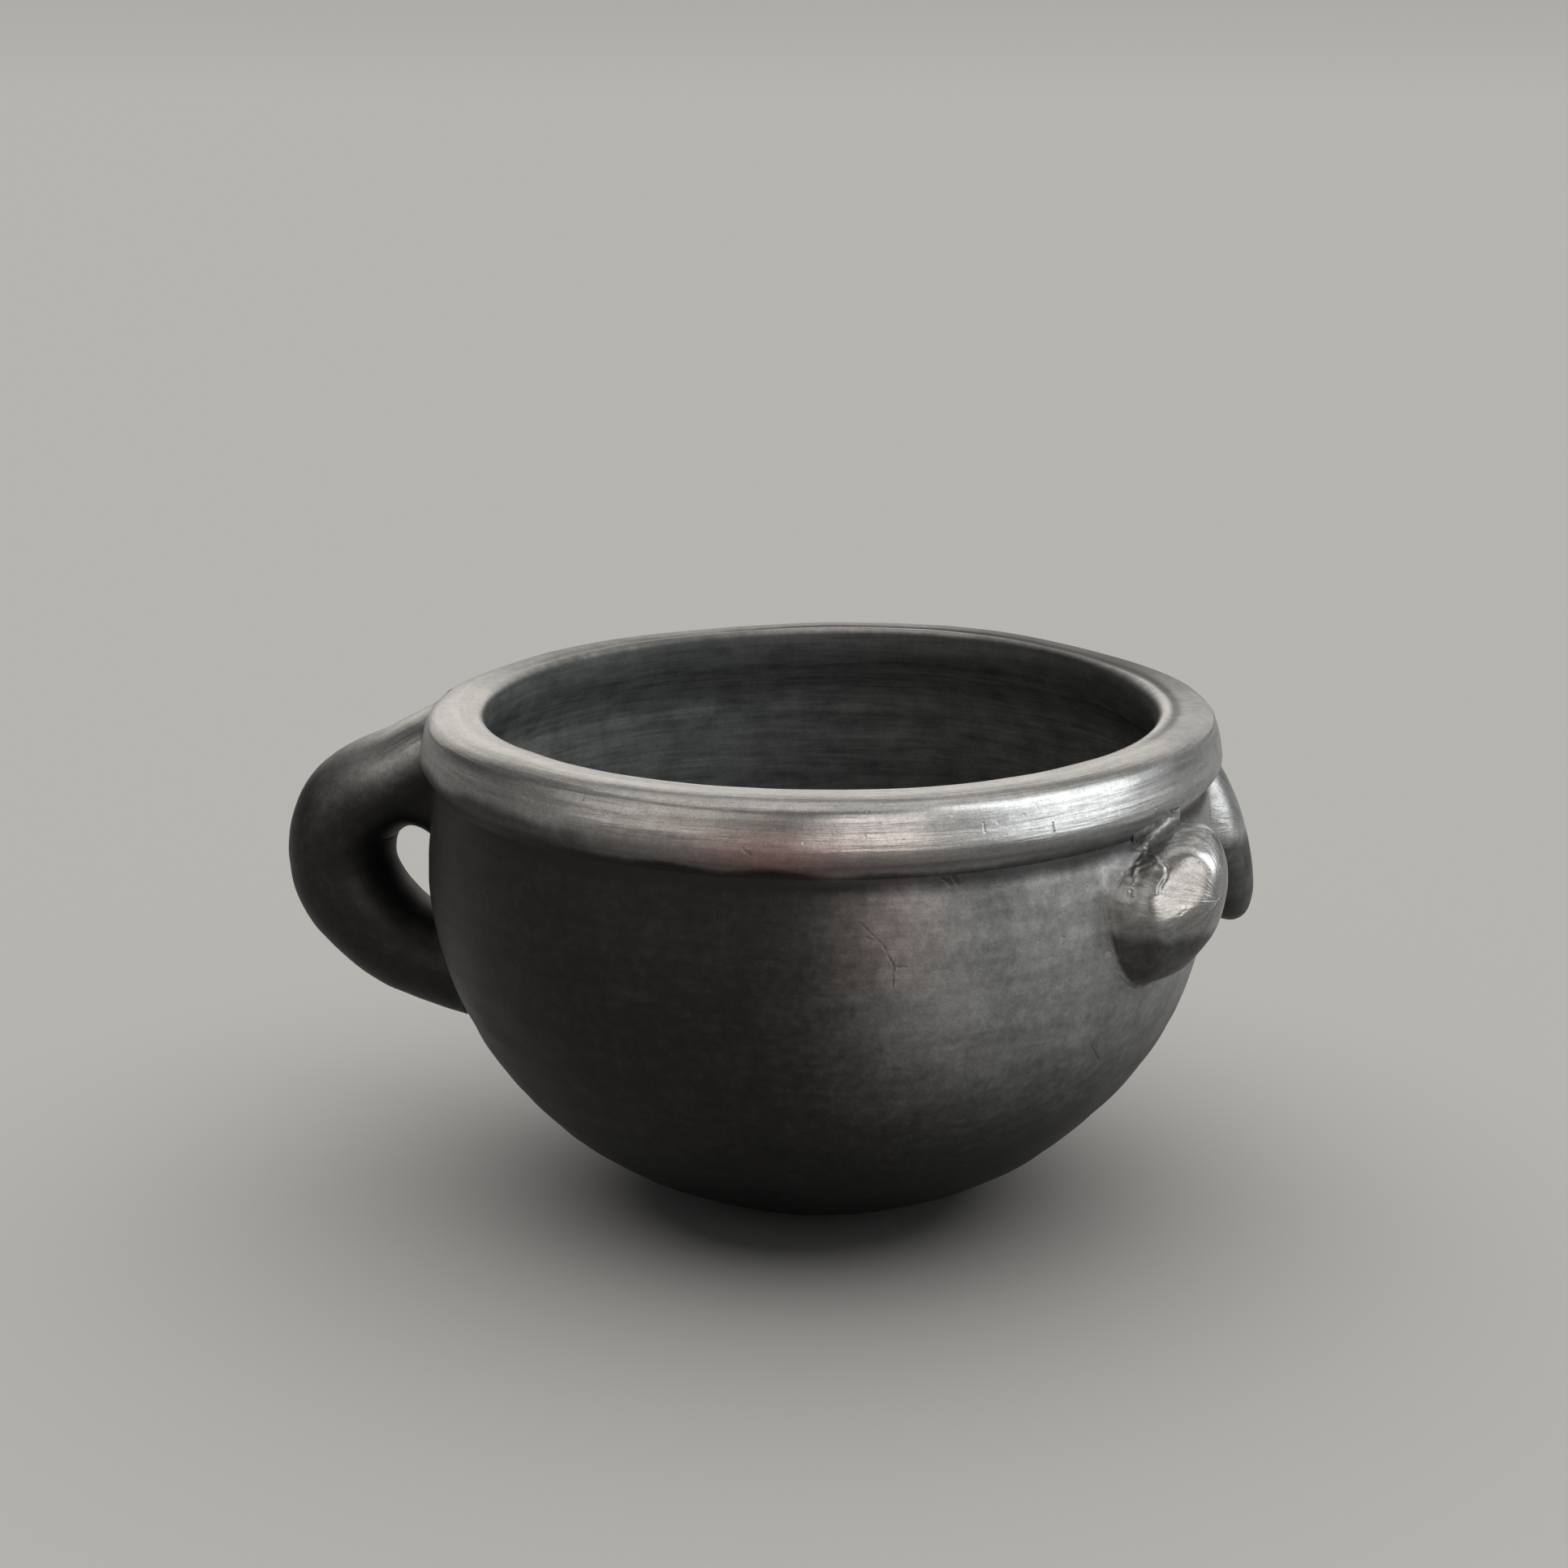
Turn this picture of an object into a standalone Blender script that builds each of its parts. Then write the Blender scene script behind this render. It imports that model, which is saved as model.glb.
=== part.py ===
"""Burnished black clay pot, built the way a hand builder makes one.

A pressed dish is the base, three flattened coils make the wall, and a thick rolled coil is the
collar.  A loop handle, a blunt knob and a drooping lug are luted on outside, each with a fillet of
joint clay pressed around its root.  Every piece is one closed solid, and neighbours keep a hair
gap.  Metres, +Z up, origin at the middle of the flat spot that the pot stands on.
"""

import math

import bmesh
import bpy
from mathutils import Vector

# Driving dimensions
RIM_RADIUS = 0.0900        # outside of the collar
HEIGHT = 0.1130            # from the flat spot to the top of the rim
MOUTH_RADIUS = 0.0756      # inside edge of the collar
WALL = 0.0065              # wall thickness below the collar
FLOOR = 0.0080             # thickness at the middle of the base
GAP = 0.0003               # hair gap between the wall and whatever is luted on it
LAP_GAP = 0.65 * GAP       # each lap surface stands back from its joint by this much
WALL_GAP = 1.3 * GAP       # joint clay to the wall
PIECE_GAP = 1.4 * GAP      # joint clay to the piece it holds

# Outside of the bowl: a short neck under the collar, then a plain ellipse
NECK_DEPTH = 0.0158        # groove under the collar, measured down from the rim
NECK_RADIUS = 0.0866
BELLY_DEPTH = 0.0374
BELLY_RADIUS = 0.0884
BOWL_DROP = 0.0785         # belly to the tip of the full ellipse, below the flat spot

# Inside of the bowl
INNER_RADIUS = BELLY_RADIUS - WALL
INNER_DROP = HEIGHT - FLOOR - BELLY_DEPTH

# Lap joints between the coils, as angles down the ellipse, each bevelled by a few degrees
LAP_ANGLES = [math.radians(5), math.radians(26), math.radians(47)]
LAP_BEVEL = math.radians(4)
COLLAR_LAP_DROP = 0.0036
STRAIGHT_BELOW = 0.004     # the inside is upright from this far below the belly
STRAIGHT_ABOVE = 0.008     # to this far above it

# Outside of the collar, from the groove up and over to the mouth: (radius, depth)
COLLAR_OUTSIDE = [
    (NECK_RADIUS, NECK_DEPTH),
    (RIM_RADIUS - 0.0014, 0.0126),
    (RIM_RADIUS, 0.0090),
    (RIM_RADIUS, 0.0054),
    (RIM_RADIUS - 0.0008, 0.0022),
    (RIM_RADIUS - 0.0028, 0.0),
    (MOUTH_RADIUS + 0.0020, 0.0),
    (MOUTH_RADIUS + 0.0004, 0.0010),
    (MOUTH_RADIUS, 0.0026),
]
COLLAR_FACE = 6            # how many of those points lie on the face outside the rim's top
# Underside of the inner lip, from the mouth down to the undercut: (radius, depth)
COLLAR_INSIDE = [
    (MOUTH_RADIUS, 0.0074),
    (MOUTH_RADIUS + 0.0014, 0.0092),
    (INNER_RADIUS - 0.0014, 0.0106),
    (INNER_RADIUS, 0.0130),
]

# Loop handle: centre line as (radius, depth), with half thickness and half width along it
HANDLE_AZIMUTH = math.radians(167)
HANDLE_STATIONS = [
    (0.0700, 0.0035, 0.0104, 0.0140),
    (0.0828, 0.0108, 0.0104, 0.0140),
    (0.0968, 0.0203, 0.0108, 0.0132),
    (0.1125, 0.0311, 0.0122, 0.0130),
    (0.1148, 0.0473, 0.0127, 0.0130),
    (0.1023, 0.0621, 0.0119, 0.0132),
    (0.0810, 0.0691, 0.0109, 0.0140),
    (0.0690, 0.0722, 0.0109, 0.0140),
]
HANDLE_STEPS = 5           # sections between two stations
# Stations between which each root of the handle leaves the wall, from inside to outside
UPPER_ROOT = (0.3, 2.6)
LOWER_ROOT = (6.9, 4.6)

# Knob and lug: azimuth, depth of the middle, half width and half height at the wall, reach of
# the tip, how far the tip sags, and how fast the section tapers (1 is an ellipse)
KNOB = dict(azimuth=math.radians(-38), depth=0.0291, width=0.0150, height=0.0192,
            reach=0.0165, sag=-0.0037, taper=0.97)
LUG = dict(azimuth=math.radians(12), depth=0.0295, width=0.0135, height=0.0222,
           reach=0.0157, sag=0.0192, taper=1.16)
STUB_ROOT = 0.35           # share of a knob's sections that lie inside the wall
STUB_BURY = 0.0040         # how deep its root starts in the wall, before it is trimmed
STUB_TIP = 0.985           # its last section, just short of the point
STUB_SECTIONS = 9
STUB_ROOT_SEARCH = (0.05, 0.9)   # sections between which it leaves the wall

FILLET = 0.0042            # how far a luting fillet runs up the piece and along the wall
FILLET_SHARES = (0.0, 0.35, 0.7, 1.0)    # its points up the side of the piece
FILLET_HOLLOW = 0.16       # how far its face is drawn in towards the corner
FILLET_TOP = 0.004         # it stays this far below the rim's top
CRESCENT = (math.radians(75), math.radians(285))   # reach of a fillet round the underside
CRESCENT_END = 0.35        # size of a crescent's tapered ends against its middle
CRESCENT_SECTIONS = 15

CUTTER_TOP = 0.030         # the trimming solid stands this far above the rim
CUTTER_INSET = 0.0025      # and its top is this much narrower than the collar
CUTTER_END = math.radians(80)
CUTTER_POINTS = 17

RING_SEGMENTS = 64
TUBE_SIDES = 24
ARC_POINTS = 6             # points along a coil's outside
INNER_ARC_POINTS = 5
NECK_POINTS = 5
BASE_POINTS = 7
MERGE_DISTANCE = 1e-6
SHARP_ANGLE = math.radians(35)

CLAY_ROUGHNESS = 0.32
CLAY_METALLIC = 0.25
SHADES = dict(bowl_base=0.030, wall_coil_lower=0.034, wall_coil_middle=0.038,
              wall_coil_upper=0.042, rim_collar=0.055, loop_handle=0.040,
              handle_upper_luting=0.036, handle_lower_luting=0.032, front_knob=0.050,
              front_knob_luting=0.045, side_lug=0.046, side_lug_luting=0.0414)


def clear_scene():
    """Remove whatever the file holds, so the script always starts from nothing."""
    for item in list(bpy.data.objects):
        bpy.data.objects.remove(item, do_unlink=True)


def clay(name):
    """Smoke-fired clay: a near-black colour with a graphite sheen."""
    shade = SHADES[name]
    material = bpy.data.materials.new(name + "_clay")
    material.use_nodes = True
    shader = material.node_tree.nodes["Principled BSDF"]
    shader.inputs["Base Color"].default_value = (shade, shade * 0.98, shade * 0.96, 1.0)
    shader.inputs["Roughness"].default_value = CLAY_ROUGHNESS
    shader.inputs["Metallic"].default_value = CLAY_METALLIC
    return material


def add_object(name, mesh_builder):
    """Turn a bmesh into a named, smooth-shaded object."""
    bmesh.ops.recalc_face_normals(mesh_builder, faces=mesh_builder.faces)
    mesh = bpy.data.meshes.new(name)
    mesh_builder.to_mesh(mesh)
    mesh_builder.free()
    mesh.shade_smooth()
    mesh.set_sharp_from_angle(angle=SHARP_ANGLE)
    piece = bpy.data.objects.new(name, mesh)
    bpy.context.scene.collection.objects.link(piece)
    return piece


def add_piece(name, mesh_builder):
    """A named piece of the pot, with its own clay."""
    piece = add_object(name, mesh_builder)
    piece.data.materials.append(clay(name))
    return piece


def ellipse_point(radius, drop, angle):
    """A point of the bowl's quarter ellipse, as (radius, depth)."""
    return radius * math.cos(angle), BELLY_DEPTH + drop * math.sin(angle)


def outer_radius(depth):
    """Outside radius of the finished pot at a depth below the rim."""
    if depth <= NECK_DEPTH:
        points = sorted((d, r) for r, d in COLLAR_OUTSIDE[:COLLAR_FACE])
        for (d0, r0), (d1, r1) in zip(points, points[1:]):
            if depth <= d1:
                share = max(0.0, (depth - d0) / (d1 - d0))
                return r0 + (r1 - r0) * share
    if depth <= BELLY_DEPTH:
        share = (depth - NECK_DEPTH) / (BELLY_DEPTH - NECK_DEPTH)
        return NECK_RADIUS + (BELLY_RADIUS - NECK_RADIUS) * math.sin(share * math.pi / 2)
    sine = min(1.0, (depth - BELLY_DEPTH) / BOWL_DROP)
    return BELLY_RADIUS * math.sqrt(1.0 - sine * sine)


def spaced(start, stop, count):
    """Evenly spaced numbers, both ends included."""
    return [start + (stop - start) * i / (count - 1) for i in range(count)]


def lathe(profile):
    """Spin a profile of (radius, depth) points about the pot's axis into a closed solid."""
    builder = bmesh.new()
    points = [builder.verts.new((radius, 0.0, HEIGHT - depth)) for radius, depth in profile]
    open_ended = profile[0][0] == 0.0
    pairs = list(zip(points, points[1:]))
    if not open_ended:
        pairs.append((points[-1], points[0]))
    edges = [builder.edges.new(pair) for pair in pairs]
    bmesh.ops.spin(builder, geom=points + edges, cent=(0, 0, 0), axis=(0, 0, 1),
                   angle=math.tau, steps=RING_SEGMENTS, use_merge=True, use_duplicate=False)
    bmesh.ops.remove_doubles(builder, verts=builder.verts, dist=MERGE_DISTANCE)
    bmesh.ops.triangulate(builder, faces=[f for f in builder.faces if len(f.verts) > 4])
    return builder


def shift(point, drop):
    """Move a (radius, depth) point down by a drop."""
    return point[0], point[1] + drop


def wall_ring(name, top, bottom, outside, inside):
    """One coil of the wall between two lap joints, each joint a pair (outer, inner) of points."""
    profile = [shift(top[0], LAP_GAP)]
    profile += outside
    profile += [shift(bottom[0], -LAP_GAP), shift(bottom[1], -LAP_GAP)]
    profile += inside
    profile += [shift(top[1], LAP_GAP)]
    add_piece(name, lathe(profile))


def lap(angle):
    """The two ends of a bevelled lap joint: on the outside, and further down on the inside."""
    return (ellipse_point(BELLY_RADIUS, BOWL_DROP, angle),
            ellipse_point(INNER_RADIUS, INNER_DROP, angle + LAP_BEVEL))


def build_base():
    """The dish under the lowest coil, closed across the flat spot."""
    foot_angle = math.asin((HEIGHT - BELLY_DEPTH) / BOWL_DROP)
    outside = [ellipse_point(BELLY_RADIUS, BOWL_DROP, angle)
               for angle in spaced(LAP_ANGLES[2], foot_angle, ARC_POINTS)[1:]]
    inside = [ellipse_point(INNER_RADIUS, INNER_DROP, angle)
              for angle in spaced(LAP_ANGLES[2] + LAP_BEVEL, math.pi / 2, BASE_POINTS)[1:-1]]
    outer_lap, inner_lap = lap(LAP_ANGLES[2])
    profile = [(0.0, HEIGHT)]
    profile += reversed(outside)
    profile += [shift(outer_lap, LAP_GAP), shift(inner_lap, LAP_GAP)]
    profile += inside
    profile += [(0.0, HEIGHT - FLOOR)]
    add_piece("bowl_base", lathe(profile))


def build_coil(name, upper_angle, lower_angle):
    """A coil of the ellipse between two laps."""
    outside = [ellipse_point(BELLY_RADIUS, BOWL_DROP, angle)
               for angle in spaced(upper_angle, lower_angle, ARC_POINTS)[1:-1]]
    inside = [ellipse_point(INNER_RADIUS, INNER_DROP, angle + LAP_BEVEL)
              for angle in spaced(lower_angle, upper_angle, INNER_ARC_POINTS)[1:-1]]
    wall_ring(name, lap(upper_angle), lap(lower_angle), outside, inside)


def neck_depths():
    """Depths from just below the groove down to the belly."""
    return spaced(NECK_DEPTH, BELLY_DEPTH, NECK_POINTS)[1:]


def build_collar(collar_lap):
    """The rolled coil on top, lapped over the upper coil."""
    profile = [shift(collar_lap[0], -LAP_GAP)]
    profile += COLLAR_OUTSIDE[1:]
    profile += COLLAR_INSIDE
    profile += [shift(collar_lap[1], -LAP_GAP)]
    add_piece("rim_collar", lathe(profile))


def build_bowl():
    """The base dish, three wall coils and the collar, from the bottom up."""
    build_base()
    build_coil("wall_coil_lower", LAP_ANGLES[1], LAP_ANGLES[2])
    build_coil("wall_coil_middle", LAP_ANGLES[0], LAP_ANGLES[1])

    collar_lap = ((NECK_RADIUS, NECK_DEPTH), (INNER_RADIUS, NECK_DEPTH + COLLAR_LAP_DROP))
    outside = [(outer_radius(depth), depth) for depth in neck_depths()]
    inside = [(INNER_RADIUS, BELLY_DEPTH + STRAIGHT_BELOW),
              (INNER_RADIUS, BELLY_DEPTH - STRAIGHT_ABOVE)]
    wall_ring("wall_coil_upper", collar_lap, lap(LAP_ANGLES[0]), outside, inside)
    build_collar(collar_lap)


def wall_clearance():
    """The pot's outside grown by the hair gap: it trims everything that is luted on."""
    face = list(reversed(COLLAR_OUTSIDE[:COLLAR_FACE]))
    face += [(outer_radius(depth), depth) for depth in neck_depths()]
    face += [ellipse_point(BELLY_RADIUS, BOWL_DROP, angle)
             for angle in spaced(0.0, CUTTER_END, CUTTER_POINTS)[1:]]
    profile = [(0.0, -CUTTER_TOP), (RIM_RADIUS - CUTTER_INSET, -CUTTER_TOP)]
    profile += [(radius + GAP, depth) for radius, depth in face]
    profile += [(0.0, HEIGHT)]
    cutter = add_object("wall_clearance", lathe(profile))
    cutter.hide_render = True
    cutter.display_type = "WIRE"
    return cutter


def trim(piece, cutter):
    """Cut a luted piece back to the outside of the wall."""
    cut = piece.modifiers.new("trim_to_wall", "BOOLEAN")
    cut.operation = "DIFFERENCE"
    cut.solver = "EXACT"
    cut.object = cutter


def frame_at(azimuth):
    """Outward and sideways directions at an azimuth."""
    outward = Vector((math.cos(azimuth), math.sin(azimuth), 0.0))
    sideways = Vector((-math.sin(azimuth), math.cos(azimuth), 0.0))
    return outward, sideways


def catmull_rom(p0, p1, p2, p3, t):
    """Smooth value between p1 and p2."""
    return 0.5 * (2 * p1 + (p2 - p0) * t + (2 * p0 - 5 * p1 + 4 * p2 - p3) * t * t
                  + (3 * p1 - p0 - 3 * p2 + p3) * t ** 3)


def handle_section(position):
    """Radius, depth, half thickness and half width of the handle at a position along it."""
    last = len(HANDLE_STATIONS) - 1
    first = min(max(int(position), 0), last - 1)
    picks = [HANDLE_STATIONS[min(max(first + k, 0), last)] for k in (-1, 0, 1, 2)]
    return [catmull_rom(*values, position - first) for values in zip(*picks)]


def handle_surface(position, turn):
    """A point on the handle: turn 0 faces out and up along the top of the loop."""
    step = 0.01
    last = len(HANDLE_STATIONS) - 1
    radius, depth, thick, wide = handle_section(position)
    before = handle_section(max(position - step, 0.0))
    after = handle_section(min(position + step, last))
    run = Vector((after[0] - before[0], before[1] - after[1])).normalized()
    normal = Vector((-run.y, run.x))
    outward, sideways = frame_at(HANDLE_AZIMUTH)
    in_plane = thick * math.cos(turn)
    centre = outward * radius + Vector((0, 0, HEIGHT - depth))
    return (centre + outward * (normal.x * in_plane) + Vector((0, 0, normal.y * in_plane))
            + sideways * (wide * math.sin(turn)))


def stub_surface(shape):
    """A surface function for a knob or lug: position 0 is inside the wall, 1 is the tip."""
    outward, sideways = frame_at(shape["azimuth"])
    wall = outer_radius(shape["depth"])

    def surface(position, turn):
        along = max(0.0, (position - STUB_ROOT) / (1 - STUB_ROOT)) * math.pi / 2
        bury = STUB_BURY * max(0.0, 1 - position / STUB_ROOT)
        reach = shape["reach"] * math.sin(along) - bury
        size = math.cos(along) ** shape["taper"]
        sag = shape["sag"] * math.sin(along)
        centre = outward * (wall + reach) + Vector((0, 0, HEIGHT - shape["depth"] - sag))
        return (centre + Vector((0, 0, shape["height"] * size * math.cos(turn)))
                + sideways * (shape["width"] * size * math.sin(turn)))

    return surface


def skin(rows, wrap):
    """Bridge rows of points into a closed solid: a tube with filled ends, or a ring."""
    builder = bmesh.new()
    loops = [[builder.verts.new(point) for point in row] for row in rows]
    following = loops[1:] + loops[:1] if wrap else loops[1:]
    for loop, after in zip(loops, following):
        for i, vertex in enumerate(loop):
            j = (i + 1) % len(loop)
            builder.faces.new((vertex, loop[j], after[j], after[i]))
    if not wrap:
        builder.faces.new(loops[0])
        builder.faces.new(loops[-1])
    return builder


def turns(start, stop, count, closed):
    """Angles around a section."""
    steps = count if closed else count - 1
    return [start + (stop - start) * i / steps for i in range(count)]


def sweep(name, surface, positions):
    """A tube through a surface function's sections."""
    angles = turns(0.0, math.tau, TUBE_SIDES, True)
    rows = [[surface(position, angle) for angle in angles] for position in positions]
    return add_piece(name, skin(rows, wrap=False))


def beyond_wall(point):
    """How far a point stands outside the pot's wall."""
    return math.hypot(point.x, point.y) - outer_radius(HEIGHT - point.z)


def crossing(surface, search, turn):
    """Position where the surface leaves the wall, between an inner and an outer position."""
    inner, outer = search
    for _ in range(40):
        middle = (inner + outer) / 2
        if beyond_wall(surface(middle, turn)) > 0:
            outer = middle
        else:
            inner = middle
    return (inner + outer) / 2


def along_surface(surface, start, stride, turn, length):
    """Walk along a piece from its root until a length is covered."""
    corner = surface(start, turn)
    position = start
    while (surface(position, turn) - corner).length < length:
        position += stride
    return surface(position, turn)


def luting_section(surface, centre, search, turn, size):
    """Wedge of joint clay where a piece meets the wall: up the piece, across, along the wall."""
    start = crossing(surface, search, turn)
    corner = surface(start, turn)
    stride = (search[1] - search[0]) / 400
    away = (corner - centre).normalized()
    piece_side = [along_surface(surface, start, stride, turn, size * share) + away * PIECE_GAP
                  for share in FILLET_SHARES]
    foot = corner + away * size
    foot.z = min(foot.z, HEIGHT - FILLET_TOP)
    outward = Vector((foot.x, foot.y, 0.0)).normalized()
    foot = outward * (outer_radius(HEIGHT - foot.z) + WALL_GAP) + Vector((0, 0, foot.z))
    lift = Vector((corner.x, corner.y, 0.0)).normalized() * WALL_GAP
    hollow = ((foot + piece_side[-1]) / 2 * (1 - FILLET_HOLLOW)
              + (corner + away * GAP) * FILLET_HOLLOW)
    piece_side[0] += lift
    return piece_side + [hollow, foot]


def luting_rows(surface, search, angles, shares):
    """Wedges of joint clay around a root, each at its own share of the full size."""
    reach = crossing(surface, search, math.pi)
    centre = (surface(reach, 0.0) + surface(reach, math.pi)) / 2
    return [luting_section(surface, centre, search, turn, FILLET * share)
            for turn, share in zip(angles, shares)]


def luting_ring(name, surface, search):
    """A fillet of joint clay all the way round a root."""
    angles = turns(0.0, math.tau, TUBE_SIDES, True)
    rows = luting_rows(surface, search, angles, [1.0] * TUBE_SIDES)
    add_piece(name, skin(rows, wrap=True))


def luting_crescent(name, surface, search):
    """A fillet of joint clay round the underside of a root, with tapered ends."""
    angles = turns(*CRESCENT, CRESCENT_SECTIONS, False)
    shares = [CRESCENT_END + (1 - CRESCENT_END) * math.sin(math.pi * i / (CRESCENT_SECTIONS - 1))
              for i in range(CRESCENT_SECTIONS)]
    rows = luting_rows(surface, search, angles, shares)
    add_piece(name, skin(rows, wrap=False))


def build_handle(cutter):
    """The loop handle, trimmed to the wall, with joint clay at both roots."""
    last = len(HANDLE_STATIONS) - 1
    positions = spaced(0.0, last, last * HANDLE_STEPS + 1)
    trim(sweep("loop_handle", handle_surface, positions), cutter)
    luting_crescent("handle_upper_luting", handle_surface, UPPER_ROOT)
    luting_ring("handle_lower_luting", handle_surface, LOWER_ROOT)


def build_stub(name, shape, cutter):
    """A knob or lug, trimmed to the wall, with its crescent of joint clay."""
    surface = stub_surface(shape)
    positions = [0.0] + spaced(STUB_ROOT, STUB_TIP, STUB_SECTIONS)
    trim(sweep(name, surface, positions), cutter)
    luting_crescent(name + "_luting", surface, STUB_ROOT_SEARCH)


def main():
    clear_scene()
    build_bowl()
    cutter = wall_clearance()
    build_handle(cutter)
    build_stub("front_knob", KNOB, cutter)
    build_stub("side_lug", LUG, cutter)


main()
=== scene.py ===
"""Looks of the burnished black clay pot: fine clay surface, materials, light and camera."""

import math

import bpy
import numpy as np
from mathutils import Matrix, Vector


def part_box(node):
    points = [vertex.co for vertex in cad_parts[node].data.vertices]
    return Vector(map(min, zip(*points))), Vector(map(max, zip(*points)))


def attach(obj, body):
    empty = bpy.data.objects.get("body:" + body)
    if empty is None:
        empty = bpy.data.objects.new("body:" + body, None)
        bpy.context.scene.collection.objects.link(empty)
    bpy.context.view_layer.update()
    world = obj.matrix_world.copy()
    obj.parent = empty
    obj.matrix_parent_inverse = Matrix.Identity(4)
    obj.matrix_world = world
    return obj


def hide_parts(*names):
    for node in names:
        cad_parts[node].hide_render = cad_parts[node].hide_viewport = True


SCENE = bpy.context.scene
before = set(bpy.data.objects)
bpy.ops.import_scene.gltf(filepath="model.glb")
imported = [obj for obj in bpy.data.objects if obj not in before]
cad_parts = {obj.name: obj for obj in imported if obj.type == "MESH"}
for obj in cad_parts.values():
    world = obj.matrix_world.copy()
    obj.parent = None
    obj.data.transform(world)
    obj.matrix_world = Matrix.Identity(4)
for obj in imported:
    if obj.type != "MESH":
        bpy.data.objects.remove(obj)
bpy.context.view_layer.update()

# ---- sizes, from the frame
MM = 0.001
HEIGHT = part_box("rim_collar")[1].z
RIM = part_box("rim_collar")[1].x  # outer radius of the collar
UP = np.array([0, 0, 1.0])

BELLY_R, BELLY_Z = 0.9822 * RIM, HEIGHT - 0.4156 * RIM
BOWL_DROP = 0.8722 * RIM  # the outer wall is a quarter ellipse this high
INNER_R = BELLY_R - 6.5 * MM
INNER_DROP = BELLY_Z - 8.0 * MM
LAPS = [math.radians(a) for a in (5, 26, 47)]
LAP_BEVEL = math.radians(4)

# Collar section from the groove, up and over to the inner wall: (radius, depth) in mm
COLLAR = [
    (86.5, 16.6), (86.8, 15.6), (87.8, 14.3), (89.0, 13.0), (89.8, 11.6), (90.0, 10.2),
    (89.75, 8.2), (89.35, 6.0), (88.85, 3.9), (88.0, 2.1), (86.6, 0.9), (85.1, 0.3), (83.2, 0.05),
    (80.8, 0.0), (78.4, 0.05), (76.8, 0.5), (75.8, 1.6), (75.5, 3.8), (75.7, 6.0), (76.5, 8.4),
    (77.8, 10.8), (79.3, 13.2), (80.6, 15.4), (81.5, 17.4), (81.9, 19.4),
]

HANDLE_AZIMUTH = math.radians(167)
# Handle centre line as (radius, depth), with half thickness and half width, in mm
HANDLE = [
    (70.0, 4.6, 10.4, 14.0), (82.8, 11.8, 10.4, 13.6), (96.8, 20.3, 10.8, 13.2),
    (112.5, 31.1, 12.2, 13.0), (114.8, 47.3, 12.7, 13.0), (102.3, 62.1, 11.9, 13.2),
    (81.0, 69.1, 10.9, 14.0), (69.0, 72.2, 10.9, 14.0),
]
# Clay pressed under the upper root: (radius, depth) of its middle, and its half sizes, in mm
WEDGE_MIDDLE = (85.5, 26.5)
WEDGE_SIZE = np.array([13.5, 12.5, 11.0])

# Knob and lug as leaning half-ellipsoids on the wall, with half width and half height, in mm.
# Facets: (outward, sideways, up) direction of each flat, and how deep it cuts.
# Crest: (across, back, up) direction in which the piece is cut off, and its reach that way
KNOB = {
    "azimuth": math.radians(-38), "depth": 29.1, "width": 15.0, "height": 19.2, "reach": 16.5,
    "sag": -3.7, "crest": ((-0.553, 0.0, 0.834), 9.4),
    "facets": [
        ((0.74, -0.67, 0.22), 2.1), ((0.34, -0.92, 0.20), 1.2), ((0.25, -0.86, -0.44), 0.9),
        ((0.78, -0.46, -0.42), 1.2), ((0.75, -0.10, 0.65), 1.6),
    ],
}
LUG = {
    "azimuth": math.radians(12), "depth": 29.5, "width": 13.0, "height": 20.5, "reach": 15.7,
    "sag": 19.2, "crest": ((0.0, 0.0, 1.0), 40.0), "facets": [],
}

# ---- how finely it is meshed
COLUMNS = 760  # points round the bowl
ROW = 0.8 * MM  # spacing of rows along the profile
COLLAR_ROW = 0.7  # spacing of rows on the collar, in mm
NECK_ROWS = 22
OUTER_COLLAR_ROWS = 24  # first rows of the collar, which a root can join
FOOT_START = 0.6 * MM  # radius of the first ring, which a flat face closes
INSIDE_END = math.pi / 2 - 0.008  # angle of the last ring inside, closed in the same way
HANDLE_ROWS, HANDLE_COLUMNS = 170, 132
STUB_ROWS, STUB_COLUMNS = 140, 320
LUTING_ANGLES = np.radians(np.linspace(7, 83, 20))
LUTING_SMOOTH = 5  # columns either side that a ring of joint clay averages
SHARP_EDGE = math.radians(38)
RAY_REACH = 40 * MM  # longer than any ray inside a handle, knob or lug
CHUNK = 20000  # points measured at a time, to save memory

# ---- how the pieces overlap
SUNK = 0.9 * MM  # how far hidden borders lie under a joint's clay
HIDDEN_FROM, HIDDEN_AT = -0.42, -0.15  # shares of the fillet's width where a border sinks
ROOT_TIP = 2.5 * MM  # how far a root runs on into the wall
LUTING_BACK = 0.8 * MM  # depth of the ring of joint clay behind its corner
LUTING_EDGE = 0.04 * MM  # how far its borders dip under the faces beside it
LUTING_LIMIT = 1.5  # longest ray across it, in widths of the fillet

# ---- how bright each piece is rubbed
BODY_SHEEN, COLLAR_SHEEN = 0.10, 0.86
# The handle's top value is a painted highlight along its top
HANDLE_SHEEN, HANDLE_PAINTED_HIGHLIGHT = 0.11, 0.75
KNOB_SHEEN, LUG_SHEEN = 0.95, 0.85
UPPER_LUTING_SHEEN, LOWER_LUTING_SHEEN = 0.12, 0.14
KNOB_LUTING_SHARE = 0.8  # of the sheen of the knob or lug beside it
INSIDE_RELIEF = 0.6  # the inside is smoother than the outside


# ---- small maths
def smooth_min(a, b, k):
    """Union of two distances with a fillet about k wide."""
    h = np.clip(0.5 + 0.5 * (b - a) / k, 0.0, 1.0)
    return b * (1 - h) + a * h - k * h * (1 - h)


def smooth_max(a, b, k):
    """Intersection of two distances with an edge about k wide."""
    return -smooth_min(-a, -b, k)


def bump(x, centre, width):
    """A smooth bump of height one."""
    return np.exp(-((x - centre) / width) ** 2)


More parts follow.
